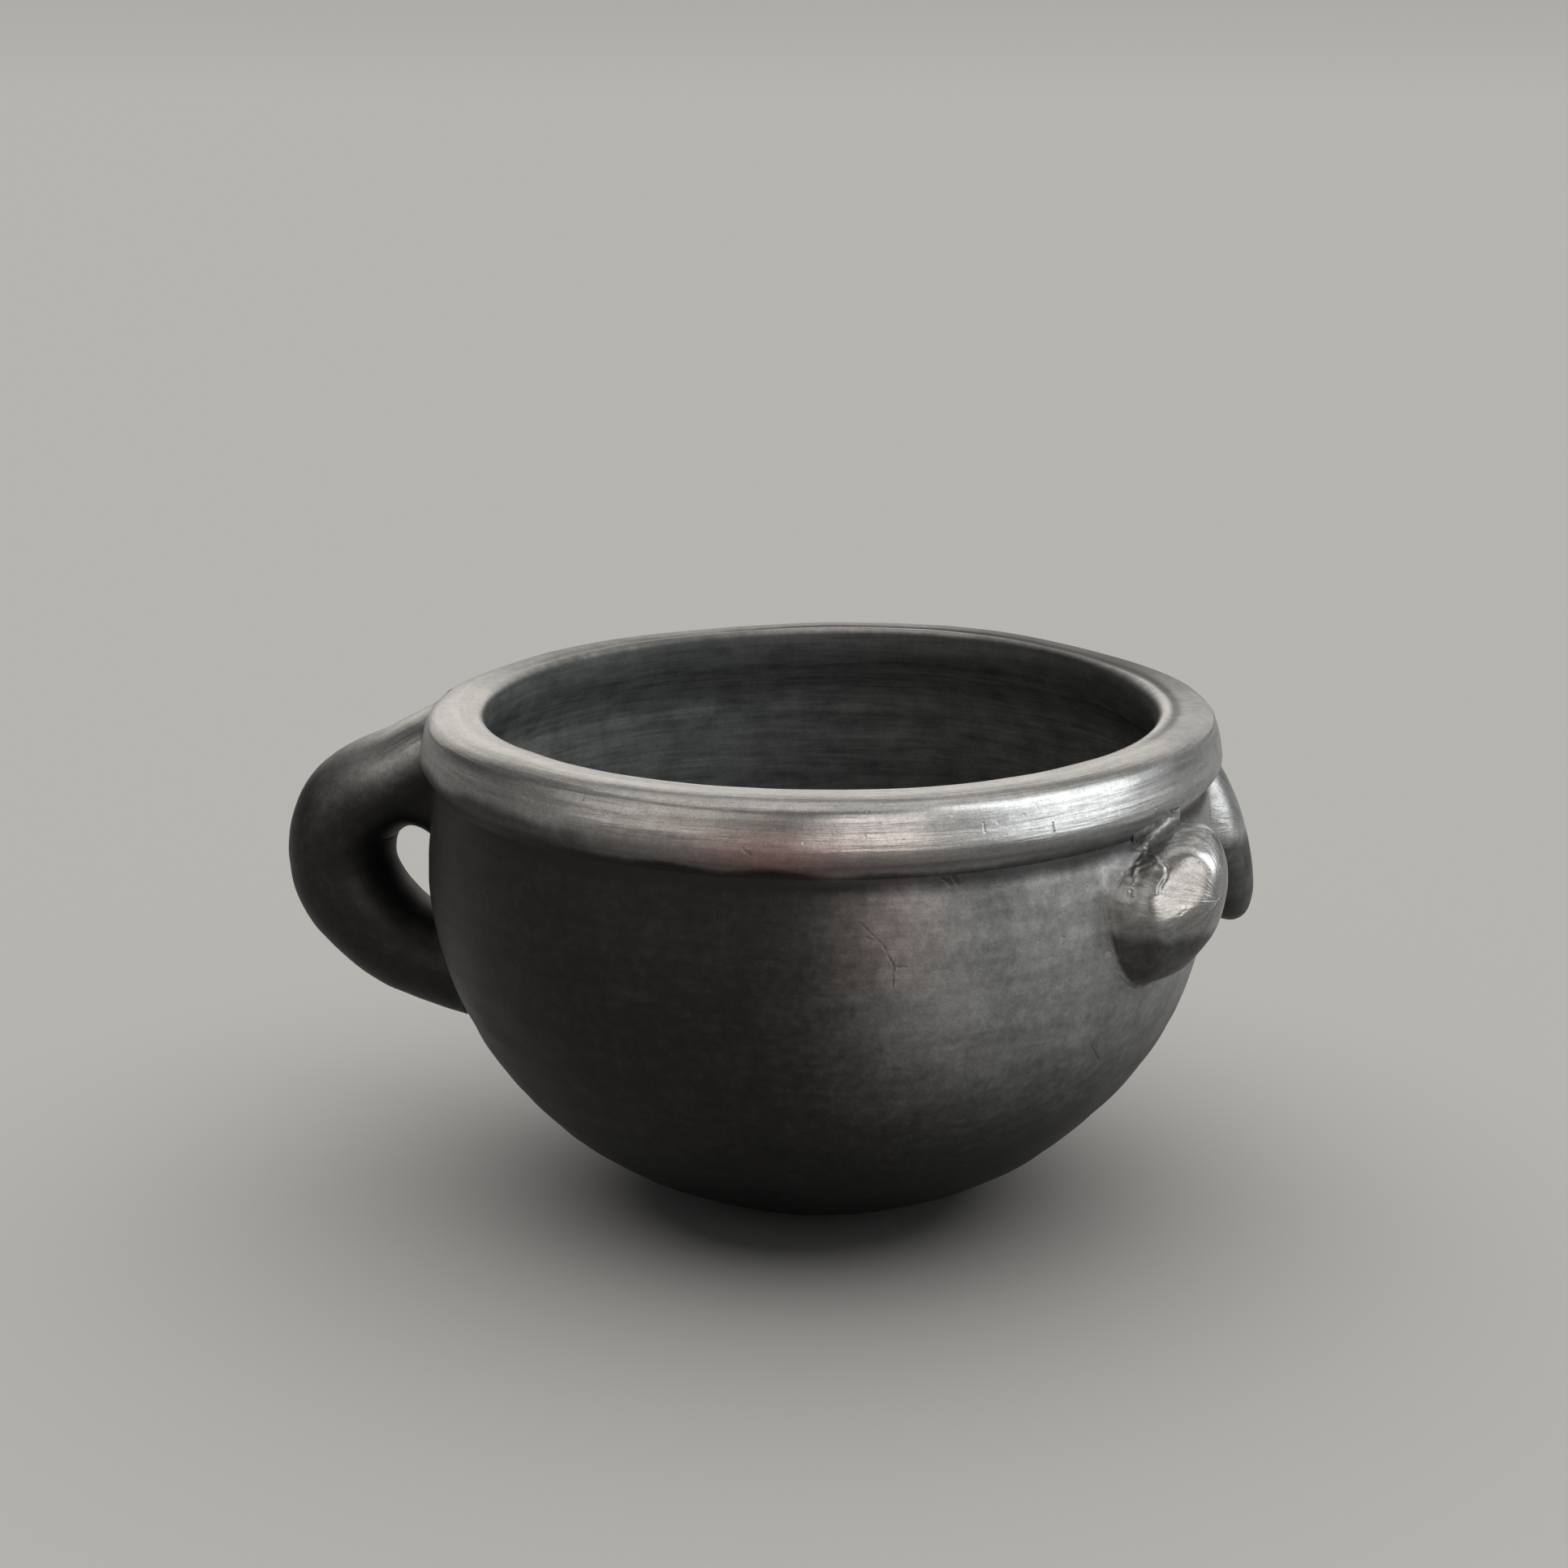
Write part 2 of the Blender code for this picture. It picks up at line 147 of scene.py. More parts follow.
def fade(x, low, high):
    """Smooth step from 0 at low to 1 at high."""
    t = np.clip((x - low) / (high - low), 0.0, 1.0)
    return t * t * (3 - 2 * t)


def fade_out(x, low, high):
    """Smooth step from 1 at low to 0 at high."""
    return 1 - fade(x, low, high)


def unit(vectors):
    """Vectors of length one."""
    return vectors / np.linalg.norm(vectors, axis=1)[:, None]


def polar(p):
    """Radius and azimuth of points about the axis."""
    return np.hypot(p[:, 0], p[:, 1]), np.arctan2(p[:, 1], p[:, 0])


def waves(points, wavelength, seed, squash=(1.0, 1.0, 1.0), count=20):
    """Seeded smooth noise of about unit size: many plane waves in random directions."""
    rng = np.random.default_rng(seed)
    total = np.zeros(len(points))
    scaled = points / np.array(squash)
    for _ in range(count):
        direction = rng.normal(size=3)
        direction /= np.linalg.norm(direction)
        rate = 2 * math.pi / (wavelength * rng.uniform(0.7, 1.5))
        total += np.cos(scaled @ (direction * rate) + rng.uniform(0, 2 * math.pi))
    return total / math.sqrt(count / 2)


def catmull_rom(points, spacing):
    """Smooth curve through a list of points, sampled at about a spacing."""
    p = np.array(points, float)
    p = np.vstack([2 * p[0] - p[1], p, 2 * p[-1] - p[-2]])
    out = []
    for a, b, c, d in zip(p, p[1:], p[2:], p[3:]):
        steps = max(2, int(round(np.linalg.norm((c - b)[:2]) / spacing)))
        for t in np.arange(steps) / steps:
            out.append(0.5 * (2 * b + (c - a) * t + (2 * a - 5 * b + 4 * c - d) * t * t
                              + (3 * b - a - 3 * c + d) * t ** 3))
    out.append(p[-2])
    return np.array(out)


# ---- the bowl's profile
def ellipse(radius, drop, start, stop):
    """Stretch of the bowl's quarter ellipse between two angles, as (radius, z)."""
    count = max(3, int(round(radius * abs(stop - start) / ROW)))
    angle = np.linspace(start, stop, count + 1)
    return np.stack([radius * np.cos(angle), BELLY_Z - drop * np.sin(angle)], axis=1)


def straight(start, stop, spacing):
    """Evenly spaced points on a straight line."""
    a, b = np.array(start, float), np.array(stop, float)
    count = max(2, int(round(np.linalg.norm(b - a) / spacing)))
    return a + (b - a) * np.linspace(0, 1, count + 1)[:, None]


def collar_curve():
    """Collar section, half way between a smooth curve and straight facets, as (radius, z)."""
    curve = catmull_rom(COLLAR, COLLAR_ROW)
    facets = []
    for a, b in zip(COLLAR, COLLAR[1:]):
        steps = max(2, int(round(math.dist(a, b) / COLLAR_ROW)))
        facets += [(a[0] + (b[0] - a[0]) * t / steps, a[1] + (b[1] - a[1]) * t / steps)
                   for t in range(steps)]
    facets.append(COLLAR[-1])
    mixed = 0.5 * curve + 0.5 * np.array(facets)
    return np.stack([mixed[:, 0] * MM, HEIGHT - mixed[:, 1] * MM], axis=1)


def neck_curve():
    """Outside of the upper coil, from the belly up to the groove."""
    groove_r, groove_z = COLLAR[0][0] * MM, HEIGHT - COLLAR[0][1] * MM
    share = np.linspace(1, 0, NECK_ROWS)
    radius = groove_r + (BELLY_R - groove_r) * np.sin(share * math.pi / 2)
    return np.stack([radius, groove_z + (BELLY_Z - groove_z) * share], axis=1)


def build_profile():
    """The section from the middle of the foot to the middle of the inside, and its stretches."""
    foot_angle = math.asin(BELLY_Z / BOWL_DROP)
    foot_end = (BELLY_R * math.cos(foot_angle), 0)
    lower, middle, upper = LAPS[2], LAPS[1], LAPS[0]
    top_outside = np.vstack([ellipse(BELLY_R, BOWL_DROP, upper, 0)[:-1], neck_curve()])
    top_inside = np.vstack([
        straight((INNER_R, HEIGHT - COLLAR[-1][1] * MM), (INNER_R, BELLY_Z), ROW),
        ellipse(INNER_R, INNER_DROP, 0, upper + LAP_BEVEL)[1:]])
    stretches = [
        ("foot", straight((FOOT_START, 0), foot_end, 2 * MM)),
        ("base_out", ellipse(BELLY_R, BOWL_DROP, foot_angle, lower)),
        ("lower_out", ellipse(BELLY_R, BOWL_DROP, lower, middle)),
        ("middle_out", ellipse(BELLY_R, BOWL_DROP, middle, upper)),
        ("upper_out", top_outside),
        ("collar", collar_curve()),
        ("upper_in", top_inside),
        ("middle_in", ellipse(INNER_R, INNER_DROP, upper + LAP_BEVEL, middle + LAP_BEVEL)),
        ("lower_in", ellipse(INNER_R, INNER_DROP, middle + LAP_BEVEL, lower + LAP_BEVEL)),
        ("base_in", ellipse(INNER_R, INNER_DROP, lower + LAP_BEVEL, INSIDE_END)),
    ]
    rows, marks = [], {}
    for name, points in stretches:
        first = len(rows) - 1 if rows else 0
        rows += [tuple(p) for p in (points[1:] if rows else points)]
        marks[name] = (first, len(rows) - 1)
    return np.array(rows), marks


def outside_profile():
    """The outer stretch of the profile, from the foot to where the collar's top flattens."""
    collar = MARKS["collar"][0]
    flat_top = int(np.argmax(PROFILE[collar:, 1] > HEIGHT - 0.3 * MM))
    return PROFILE[MARKS["base_out"][0]:collar + 1 + flat_top]


PROFILE, MARKS = build_profile()
OUTSIDE = outside_profile()


# ---- distance fields
def axes(azimuth):
    """Outward and sideways directions at an azimuth."""
    outward = np.array([math.cos(azimuth), math.sin(azimuth), 0.0])
    return outward, np.array([-outward[1], outward[0], 0.0])


def wall_distance(p):
    """Distance outside the bowl's outer wall."""
    radius = np.hypot(p[:, 0], p[:, 1])
    wall = np.interp(p[:, 2], OUTSIDE[:, 1], OUTSIDE[:, 0])
    slope = np.interp(p[:, 2], OUTSIDE[:, 1], np.gradient(OUTSIDE[:, 0], OUTSIDE[:, 1]))
    side = (radius - wall) / np.sqrt(1 + np.clip(slope, -2, 2) ** 2)
    return smooth_max(side, p[:, 2] - HEIGHT, 1.5 * MM)


def handle_path():
    """Centre line of the loop outside the wall, with its directions and normals."""
    line = catmull_rom(HANDLE, 0.8) * MM
    line[:, 1] = HEIGHT - line[:, 1]
    line = line[line[:, 0] > 80.5 * MM]
    run = unit(np.gradient(line[:, :2], axis=0))
    return line, run, np.stack([-run[:, 1], run[:, 0]], axis=1)


HANDLE_LINE, HANDLE_RUN, HANDLE_NORMAL = handle_path()


def ellipsoid_distance(local, size):
    """About the distance outside an ellipsoid, from points relative to its middle."""
    k0 = np.linalg.norm(local / size, axis=1)
    k1 = np.linalg.norm(local / size ** 2, axis=1)
    return k0 * (k0 - 1) / np.maximum(k1, 1.0)


def wedge_distance(p):
    """Distance outside the clay pressed under the upper root of the handle."""
    outward, sideways = axes(HANDLE_AZIMUTH)
    radius, depth = WEDGE_MIDDLE
    local = np.stack([p @ outward - radius * MM, p @ sideways,
                      p[:, 2] - HEIGHT + depth * MM], axis=1)
    return ellipsoid_distance(local, WEDGE_SIZE * MM)


def handle_distance(p):
    """Distance outside the loop handle."""
    outward, sideways = axes(HANDLE_AZIMUTH)
    flat = np.stack([p @ outward, p[:, 2]], axis=1)
    result = np.empty(len(p))
    for start in range(0, len(p), CHUNK):
        part = slice(start, start + CHUNK)
        gaps = flat[part, None, :] - HANDLE_LINE[None, :, :2]
        nearest = np.argmin((gaps ** 2).sum(axis=2), axis=1)
        offset = flat[part] - HANDLE_LINE[nearest, :2]
        across = (offset * HANDLE_NORMAL[nearest]).sum(axis=1)
        beyond = (offset * HANDLE_RUN[nearest]).sum(axis=1)
        beyond = np.where((nearest > 0) & (nearest < len(HANDLE_LINE) - 1), 0.0, beyond * 2)
        thick, wide = HANDLE_LINE[nearest, 2], HANDLE_LINE[nearest, 3]
        local = np.stack([across, p[part] @ sideways, beyond], axis=1)
        result[part] = ellipsoid_distance(local, np.stack([thick, wide, thick], axis=1))
    return smooth_min(result, wedge_distance(p), 5 * MM)


def stub_frame(shape):
    """Middle of a knob's foot on the wall, and its outward and sideways directions."""
    outward, sideways = axes(shape["azimuth"])
    z = HEIGHT - shape["depth"] * MM
    wall = np.interp(z, OUTSIDE[:, 1], OUTSIDE[:, 0])
    return outward * wall + np.array([0, 0, z]), outward, sideways


def stub_distance(p, shape):
    """Distance outside a leaning half-ellipsoid with pressed flats and a slanting crest."""
    foot, outward, sideways = stub_frame(shape)
    rel = p - foot
    out = rel @ outward
    lean = np.clip(out / (shape["reach"] * MM), -0.5, 1.2)
    size = np.array([shape["reach"], shape["width"], shape["height"]]) * MM
    local = np.stack([out, rel @ sideways, rel[:, 2] + shape["sag"] * MM * lean], axis=1)
    distance = ellipsoid_distance(local, size)
    pressed = distance
    for direction, cut in shape["facets"]:
        n = np.array(direction) / np.linalg.norm(direction)
        support = np.linalg.norm(n * size) - cut * MM
        pressed = smooth_max(pressed, local @ n - support, 0.9 * MM)
    clear_of_wall = fade(out, 1.5 * MM, 6.0 * MM)
    distance = distance + (pressed - distance) * clear_of_wall
    direction, reach = shape["crest"]
    return smooth_max(distance, rel @ np.array(direction) - reach * MM, 6.0 * MM)


def handle_blend(p):
    """Width of the handle's fillet: tight along the rim, wide at the lower root."""
    return (2.2 + 3.8 * fade(HEIGHT - p[:, 2], 14 * MM, 34 * MM)) * MM


def knob_blend(p):
    """Width of the knob's fillet: clay is dragged down on to it from the collar."""
    above = p[:, 2] - HEIGHT + KNOB["depth"] * MM
    dragged = fade(above, -2 * MM, 7 * MM) * (1 - 0.7 * fade(above, 9 * MM, 15 * MM))
    return (2.8 + 3.6 * dragged) * MM


MEMBERS = {
    "handle": (handle_distance, handle_blend),
    "knob": (lambda p: stub_distance(p, KNOB), knob_blend),
    "lug": (lambda p: stub_distance(p, LUG), lambda p: 4.0 * MM),
}


def member_distance(p, member):
    """Distance outside the bowl joined with one of its handle, knob or lug."""
    distance, blend = MEMBERS[member]
    return smooth_min(wall_distance(p), distance(p), blend(p))


def hidden_share(distance, width):
    """How much of a border lies under a joint's clay, from its distance outside the neighbour."""
    return fade(-distance / width, HIDDEN_FROM, HIDDEN_AT)


def walk_out(field, origin, direction, low, high, steps=20):
    """Distance along each ray where it leaves a solid, between two limits."""
    low = np.full(len(origin), low) if np.isscalar(low) else low.copy()
    high = np.full(len(origin), high) if np.isscalar(high) else high.copy()
    for _ in range(steps):
        middle = (low + high) / 2
        outside = field(origin + direction * middle[:, None]) > 0
        high = np.where(outside, middle, high)
        low = np.where(outside, low, middle)
    return (low + high) / 2


# ---- hand-made unevenness
def settle(p):
    """Slow sway of the whole pot: an out-of-round bowl and a rim that rises at the back right."""
    radius, azimuth = polar(p)
    up = np.clip(p[:, 2] / HEIGHT, 0, 1)
    out = p.copy()
    swell = 0.4 * MM * np.sin(2 * azimuth) * up * (1 - 0.5 * fade(radius, RIM, 1.3 * RIM))
    out[:, :2] *= (1 + swell / np.maximum(radius, 5 * MM))[:, None]
    from_peak = np.angle(np.exp(1j * (azimuth - math.radians(62))))
    out[:, 2] += 1.3 * MM * bump(from_peak, 0, 0.55) * fade(up, 0.55, 1.0)
    out[:, 2] += 0.25 * MM * np.cos(3 * azimuth + 1.0) * fade(up, 0.3, 1.0)
    return out


# Ridges and grooves pressed about the knob, seen from the front: points (across, up) from the
# middle of its foot, half width, and height, in mm
KNOB_MARKS = [
    ([(-0.5, 10.5), (1.0, 9.0), (0.5, 7.0), (-0.5, 5.8), (-0.6, 4.2)], 0.40, 0.42),
    ([(0.5, 10.2), (2.0, 8.8), (1.5, 6.8), (0.5, 5.6), (0.3, 4.0)], 0.35, -0.30),
    ([(-1.4, 4.8), (-1.0, 4.0)], 0.45, 0.35),
    ([(-2.5, 10.0), (-4.0, 9.0), (-5.0, 7.2), (-4.9, 6.0)], 0.40, 0.35),
    ([(-2.5, 10.5), (-1.5, 13.0), (0.0, 14.6)], 0.40, 0.38),
    ([(-1.8, 10.3), (-0.7, 12.6)], 0.35, -0.28),
    ([(2.0, 13.2), (2.9, 13.4)], 0.50, -0.45),
    ([(1.5, 12.4), (3.1, 13.0), (5.1, 14.1)], 0.35, 0.35),
    ([(5.5, 15.2), (7.2, 15.6), (9.5, 16.2)], 0.45, 0.40),
    ([(7.3, 12.2), (8.8, 13.7), (11.1, 14.2)], 0.40, -0.30),
    ([(-5.6, 4.1), (-5.2, 3.3)], 0.50, -0.45),
    ([(-2.3, -5.3), (2.8, -4.9), (6.7, -4.0), (8.6, -1.5)], 0.80, -0.28),
    ([(-2.1, -7.4), (2.9, -6.3), (6.3, -5.2), (9.1, -3.3)], 1.00, 0.16),
    ([(1.4, -4.1), (3.8, -1.0), (5.8, 1.0)], 0.35, -0.22),
    ([(-11.1, -6.9), (-9.6, -10.7), (-6.1, -16.7), (-2.7, -19.4)], 0.90, 0.45),
    ([(-10.0, -5.0), (-8.2, -10.5), (-4.9, -15.6)], 0.80, -0.30),
    ([(-16.0, 5.4), (-12.3, 6.3), (-8.8, 7.0)], 0.70, -0.22),
    ([(-15.9, 5.0), (-14.1, 3.4), (-10.0, 3.4)], 0.80, 0.20),
]
# Line along which the clay above the knob is smeared, in the same plane
SMEAR_LINE = [(-6.0, 6.0), (-1.0, 13.6), (10.0, 17.6)]
SMEAR_WIDTH = 2.4


def line_gap(across, up, points):
    """Distance to a broken line in a plane."""
    nearest = np.full(len(across), 1e9)
    for (ax, ay), (bx, by) in zip(points, points[1:]):
        dx, dy = bx - ax, by - ay
        share = np.clip(((across - ax) * dx + (up - ay) * dy) / (dx * dx + dy * dy), 0, 1)
        nearest = np.minimum(nearest, np.hypot(across - ax - share * dx, up - ay - share * dy))
    return nearest


def knob_marks(p):
    """Height of the pressed marks about the knob."""
    foot, outward, sideways = stub_frame(KNOB)
    rel = (p - foot) / MM
    near = (np.abs(rel) < 32).all(axis=1) & (rel[:, 1] < 14)
    across, up = rel[near, 0], rel[near, 2]
    marks = np.zeros(len(across))
    for points, width, rise in KNOB_MARKS:
        marks += rise * np.exp(-(line_gap(across, up, points) / width) ** 2)
    facing_front = fade(-(rel[near] @ sideways) + 0.8 * (rel[near] @ outward), -4, 0)
    smear = waves(p[near], 0.0016, 21, squash=(3.0, 1.0, 2.0))
    band = np.exp(-(line_gap(across, up, SMEAR_LINE) / SMEAR_WIDTH) ** 2)
    broken = 0.75 + 0.5 * waves(p[near], 0.0022, 22)
    height = np.zeros(len(p))
    height[near] = (0.36 * marks * facing_front * broken + 0.07 * smear * band) * MM
    return height


def collar_marks(p):
    """Height of the lines that run round the rim, each wandering and fading a little."""
    radius, azimuth = polar(p)
    depth = (HEIGHT - p[:, 2]) / MM
    wander = 0.5 * np.cos(3 * azimuth + 0.4) + 0.3 * np.cos(7 * azimuth + 2.0)
    strength = np.clip(0.6 + 0.5 * np.cos(2 * azimuth + 2.6) + 0.4 * np.cos(5 * azimuth), 0, 1.4)
    ring_radius = radius / MM + 0.3 * wander

    # Outer face: a shallow second groove under the collar's own, its lip, and a planed band
    outside = fade(radius, 0.93 * BELLY_R, 0.95 * BELLY_R)
    groove = -0.16 * strength * bump(depth, 19.9 + wander, 0.9)
    lip = 0.08 * strength * bump(depth, 18.2 + wander, 0.8)
    band = -0.10 * fade(depth + 1.5 * wander, 3.1, 3.9) * fade_out(depth + wander, 6.4, 8.0)

    # Far side of the top: a crease along the inner edge, and a planed band beside it
    far = fade(np.sin(azimuth + 0.35), -0.35, 0.25) * fade_out(depth, 0.5, 2.5)
    crease = -0.75 * bump(ring_radius, 79.4, 0.9) + 0.28 * bump(ring_radius, 77.4, 1.0)
    plane = -0.16 * fade(ring_radius, 80.0, 81.0) * fade_out(ring_radius, 83.3, 84.6)

    # Right side: a soft ridge on the outer edge
    right = fade(np.cos(azimuth + 0.6), 0.5, 0.9)
    edge = 0.20 * right * bump(depth + wander, 1.6, 1.0) * fade(radius, 85 * MM, 87 * MM)

    # Inner face: a broken ring
    rough = waves(p, 0.006, 41, squash=(4.0, 4.0, 1.0))
    inner = 0.16 * bump(depth + 1.2 * rough, 11.5, 0.7) * (1 - outside)
    return (outside * (groove + lip + band) + far * (crease + plane) + edge + inner) * MM


def clay_relief(p):
    """Height of the clay over its plain shape: lumps, stone flats and the pressed marks."""
    lumps = 0.16 * MM * waves(p, 0.046, 1) + 0.05 * MM * waves(p, 0.017, 2)
    radius = np.hypot(p[:, 0], p[:, 1])[:, None]
    along_strokes = np.hstack([p[:, :2] * 0.16, p[:, 2:] + radius * 0.6])
    flats = 0.05 * MM * waves(along_strokes, 0.0065, 3, count=26)
    return lumps + flats + knob_marks(p) + collar_marks(p)


# ---- meshes
POT = bpy.data.collections.new("pot")
SCENE.collection.children.link(POT)


def grid_faces(rows, columns, wrap_rows=False, flip=False):
    """Quads over a grid of points whose columns go right round, row by row."""
    r = np.arange(rows if wrap_rows else rows - 1)
    row, column = np.meshgrid(r, np.arange(columns), indexing="ij")
    next_row, next_column = (row + 1) % rows, (column + 1) % columns
    quads = np.stack([row * columns + column, row * columns + next_column,
                      next_row * columns + next_column, next_row * columns + column],
                     axis=-1).reshape(-1, 4)
    return (quads[:, ::-1] if flip else quads).tolist()


def capped_faces(rows, columns, flip=False):
    """Quads over a tube of points, with a flat cap at each end."""
    first = list(range(columns))
    last = [(rows - 1) * columns + i for i in first]
    caps = [first, last[::-1]] if flip else [first[::-1], last]
    return grid_faces(rows, columns, flip=flip) + caps


# What the material reads at each point of a mesh, and how it is stored
LOOKS = {"sheen": "FLOAT", "inside": "FLOAT", "painted_shading": "FLOAT", "painted_reflection": "FLOAT",
         "stroke": "FLOAT_VECTOR"}


def make_piece(name, points, faces, slot, looks):
    """A smooth-shaded object that rides on the pot and replaces the CAD node of its name."""
    mesh = bpy.data.meshes.new(name + "_surface")
    mesh.from_pydata(points.tolist(), [], faces)
    mesh.shade_smooth()
    mesh.set_sharp_from_angle(angle=SHARP_EDGE)
    mesh.materials.append(CLAY[slot])
    for key, kind in LOOKS.items():
        layer = mesh.attributes.new(key, kind, "POINT")
        field = "value" if kind == "FLOAT" else "vector"
        layer.data.foreach_set(field, looks[key].astype(np.float32).ravel())
    piece = bpy.data.objects.new(name + "_surface", mesh)
    POT.objects.link(piece)
    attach(piece, "root")
    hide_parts(name)


# ---- sheen with its painted highlights and shade, painted shading and painted reflection of the bowl
def facing(azimuth, degrees, low, high):
    """Share of the pot that faces an azimuth, between two cosines of the turn from it."""
    return fade(np.cos(azimuth - math.radians(degrees)), low, high)


def beside(azimuth, degrees, width):
    """A smooth bump at an azimuth; both in degrees."""
    return bump(azimuth, math.radians(degrees), math.radians(width))


def body_sheen(azimuth, depth):
    """Sheen of the body: soft on the right as a painted highlight, with a bright painted highlight
    band and a painted shade band beside it.
    """
    # Painted highlight on the right side and in a band at -75 degrees, painted shade in a band at
    # -69 degrees, each fading lower down
    painted_highlight_right = facing(azimuth, -25, 0.20, 0.95) * facing(azimuth, -40, -0.2, 0.6)
    painted_highlight_band, painted_shade_band = beside(azimuth, -75, 10), beside(azimuth, -69, 7)
    sheen = BODY_SHEEN + 0.36 * painted_highlight_right * fade_out(depth, 38 * MM, 92 * MM)
    sheen = sheen + 0.20 * painted_highlight_band * fade_out(depth, 30 * MM, 80 * MM)
    return sheen - 0.12 * painted_shade_band * fade_out(depth, 30 * MM, 55 * MM)


def collar_sheen(azimuth, depth, radius, sway):
    """Sheen of the rim: less shiny low down, far off and on the top at the far right; painted
    shade on the lower band, deeper on the left and starting lower on the right, with a painted
    highlight band at -75 degrees; painted shade on the outer face at the right; a painted
    highlight line and a painted shade line on the top at the right back.
    """
    right, left = facing(azimuth, -50, 0.3, 0.9), fade(-np.cos(azimuth), 0.25, 0.85)
    far = fade(np.sin(azimuth), -0.1, 0.7)
    # On the right the lower band starts deeper, so the painted highlight reaches lower
    lower = fade(depth + sway - 3.4 * MM * right, 6.6 * MM, 11.0 * MM)
    right_top = facing(azimuth, 15, 0.45, 0.95) * fade_out(depth, 1.0 * MM, 2.5 * MM)
    # Painted shade on the outer face at the right, and at the right back a painted highlight line
    # and a painted shade line on the top
    painted_shade_right_face = facing(azimuth, 0, 0.86, 0.97) * fade(depth, 1.5 * MM, 4.0 * MM)
    painted_lines_right_back = facing(azimuth, 35, 0.25, 0.6) * fade_out(depth, 0.8 * MM, 2.0 * MM)
    painted_highlight_line, painted_shade_line = bump(radius / MM, 77.3, 0.9), bump(radius / MM, 79.5, 1.0)
    # Less shiny on the lower band, with painted shade deeper on the left and a painted highlight
    # band at -75 degrees
    sheen = COLLAR_SHEEN - lower * (0.30 + 0.40 * left - 0.22 * beside(azimuth, -75, 10))
    sheen = sheen - 0.50 * far - 0.34 * right_top - 0.30 * painted_shade_right_face
    return sheen + painted_lines_right_back * (0.34 * painted_highlight_line - 0.30 * painted_shade_line)


def bowl_looks(p, inside):
    """Sheen, painted shading, painted reflection and direction of the burnishing strokes on the
    bowl: strokes run round it.
    """
    radius, azimuth = polar(p)
    depth = HEIGHT - p[:, 2]
    sway = 0.6 * MM * waves(p, 0.022, 11)
    on_collar = fade_out(depth + sway, 13.8 * MM, 16.8 * MM)
    # Painted shade: less sheen in the groove under the collar
    groove = bump(depth + 0.5 * sway, 16.8 * MM, 2.2 * MM)
    body = body_sheen(azimuth, depth)
    rim = collar_sheen(azimuth, depth, radius, sway)
    sheen = (body + (rim - body) * on_collar) * (1 - inside) * (1 - 0.75 * groove)
    # A painted warm reflection low on the collar and on the upper body at the front
    painted_reflection = (beside(azimuth, -97, 15) * bump(depth, 12 * MM, 6 * MM)
             + 0.4 * beside(azimuth, -85, 9) * bump(depth, 28 * MM, 14 * MM))
    # Painted shade under the inner lip, and painted shade darkening the outside towards the bottom
    painted_shade_under_lip = bump(depth, 5 * MM, 6 * MM) * inside
    painted_shade_low = fade(depth, 60 * MM, 112 * MM) * (1 - inside)
    painted_shading = 1 - 0.45 * painted_shade_low - 0.40 * painted_shade_under_lip
    stroke = np.stack([p[:, 0] * 0.07, p[:, 1] * 0.07, p[:, 2] - 0.8 * radius], axis=1)
    return {"sheen": sheen, "inside": inside, "painted_shading": painted_shading, "painted_reflection": painted_reflection, "stroke": stroke}


# ---- the bowl
def spin(pairs):
    """Points round the axis from pairs of (radius, z), row by row."""
    angle = np.linspace(-math.pi, math.pi, COLUMNS, endpoint=False)
    height = np.repeat(pairs[:, 1:], COLUMNS, axis=1)
    rings = [pairs[:, :1] * np.cos(angle), pairs[:, :1] * np.sin(angle), height]
    return np.stack(rings, axis=-1).reshape(-1, 3)


def bowl_surface():
    """All points of the bowl, row by row, with the roots of the handle, knob and lug raised."""
    run = unit(np.gradient(PROFILE, axis=0))
    points = spin(PROFILE)
    normals = spin(np.stack([run[:, 1], -run[:, 0]], axis=1))
    outer = np.arange(len(points)) < (MARKS["collar"][0] + OUTER_COLLAR_ROWS) * COLUMNS
    for member, (distance, blend) in MEMBERS.items():
        gap = distance(points)
        near = outer & (gap < blend(points) * 1.05)
        place, way, gap, width = points[near], normals[near], gap[near], blend(points[near])
        lift = walk_out(lambda p: member_distance(p, member), place, way, -0.2 * MM, 0.3 * width)
        lift -= SUNK * hidden_share(gap, width)
        points[near] = place + way * np.minimum(lift, 0.12 * width)[:, None]
    return points, normals


# Pieces of the bowl that are closed rings: name, stretches of the profile, and slot
RINGS = [
    ("wall_coil_lower", ("lower_out", "lower_in"), "bowl_clay"),
    ("wall_coil_middle", ("middle_out", "middle_in"), "bowl_clay"),
    ("wall_coil_upper", ("upper_out", "upper_in"), "bowl_clay"),
    ("rim_collar", ("collar",), "rim_clay"),
]


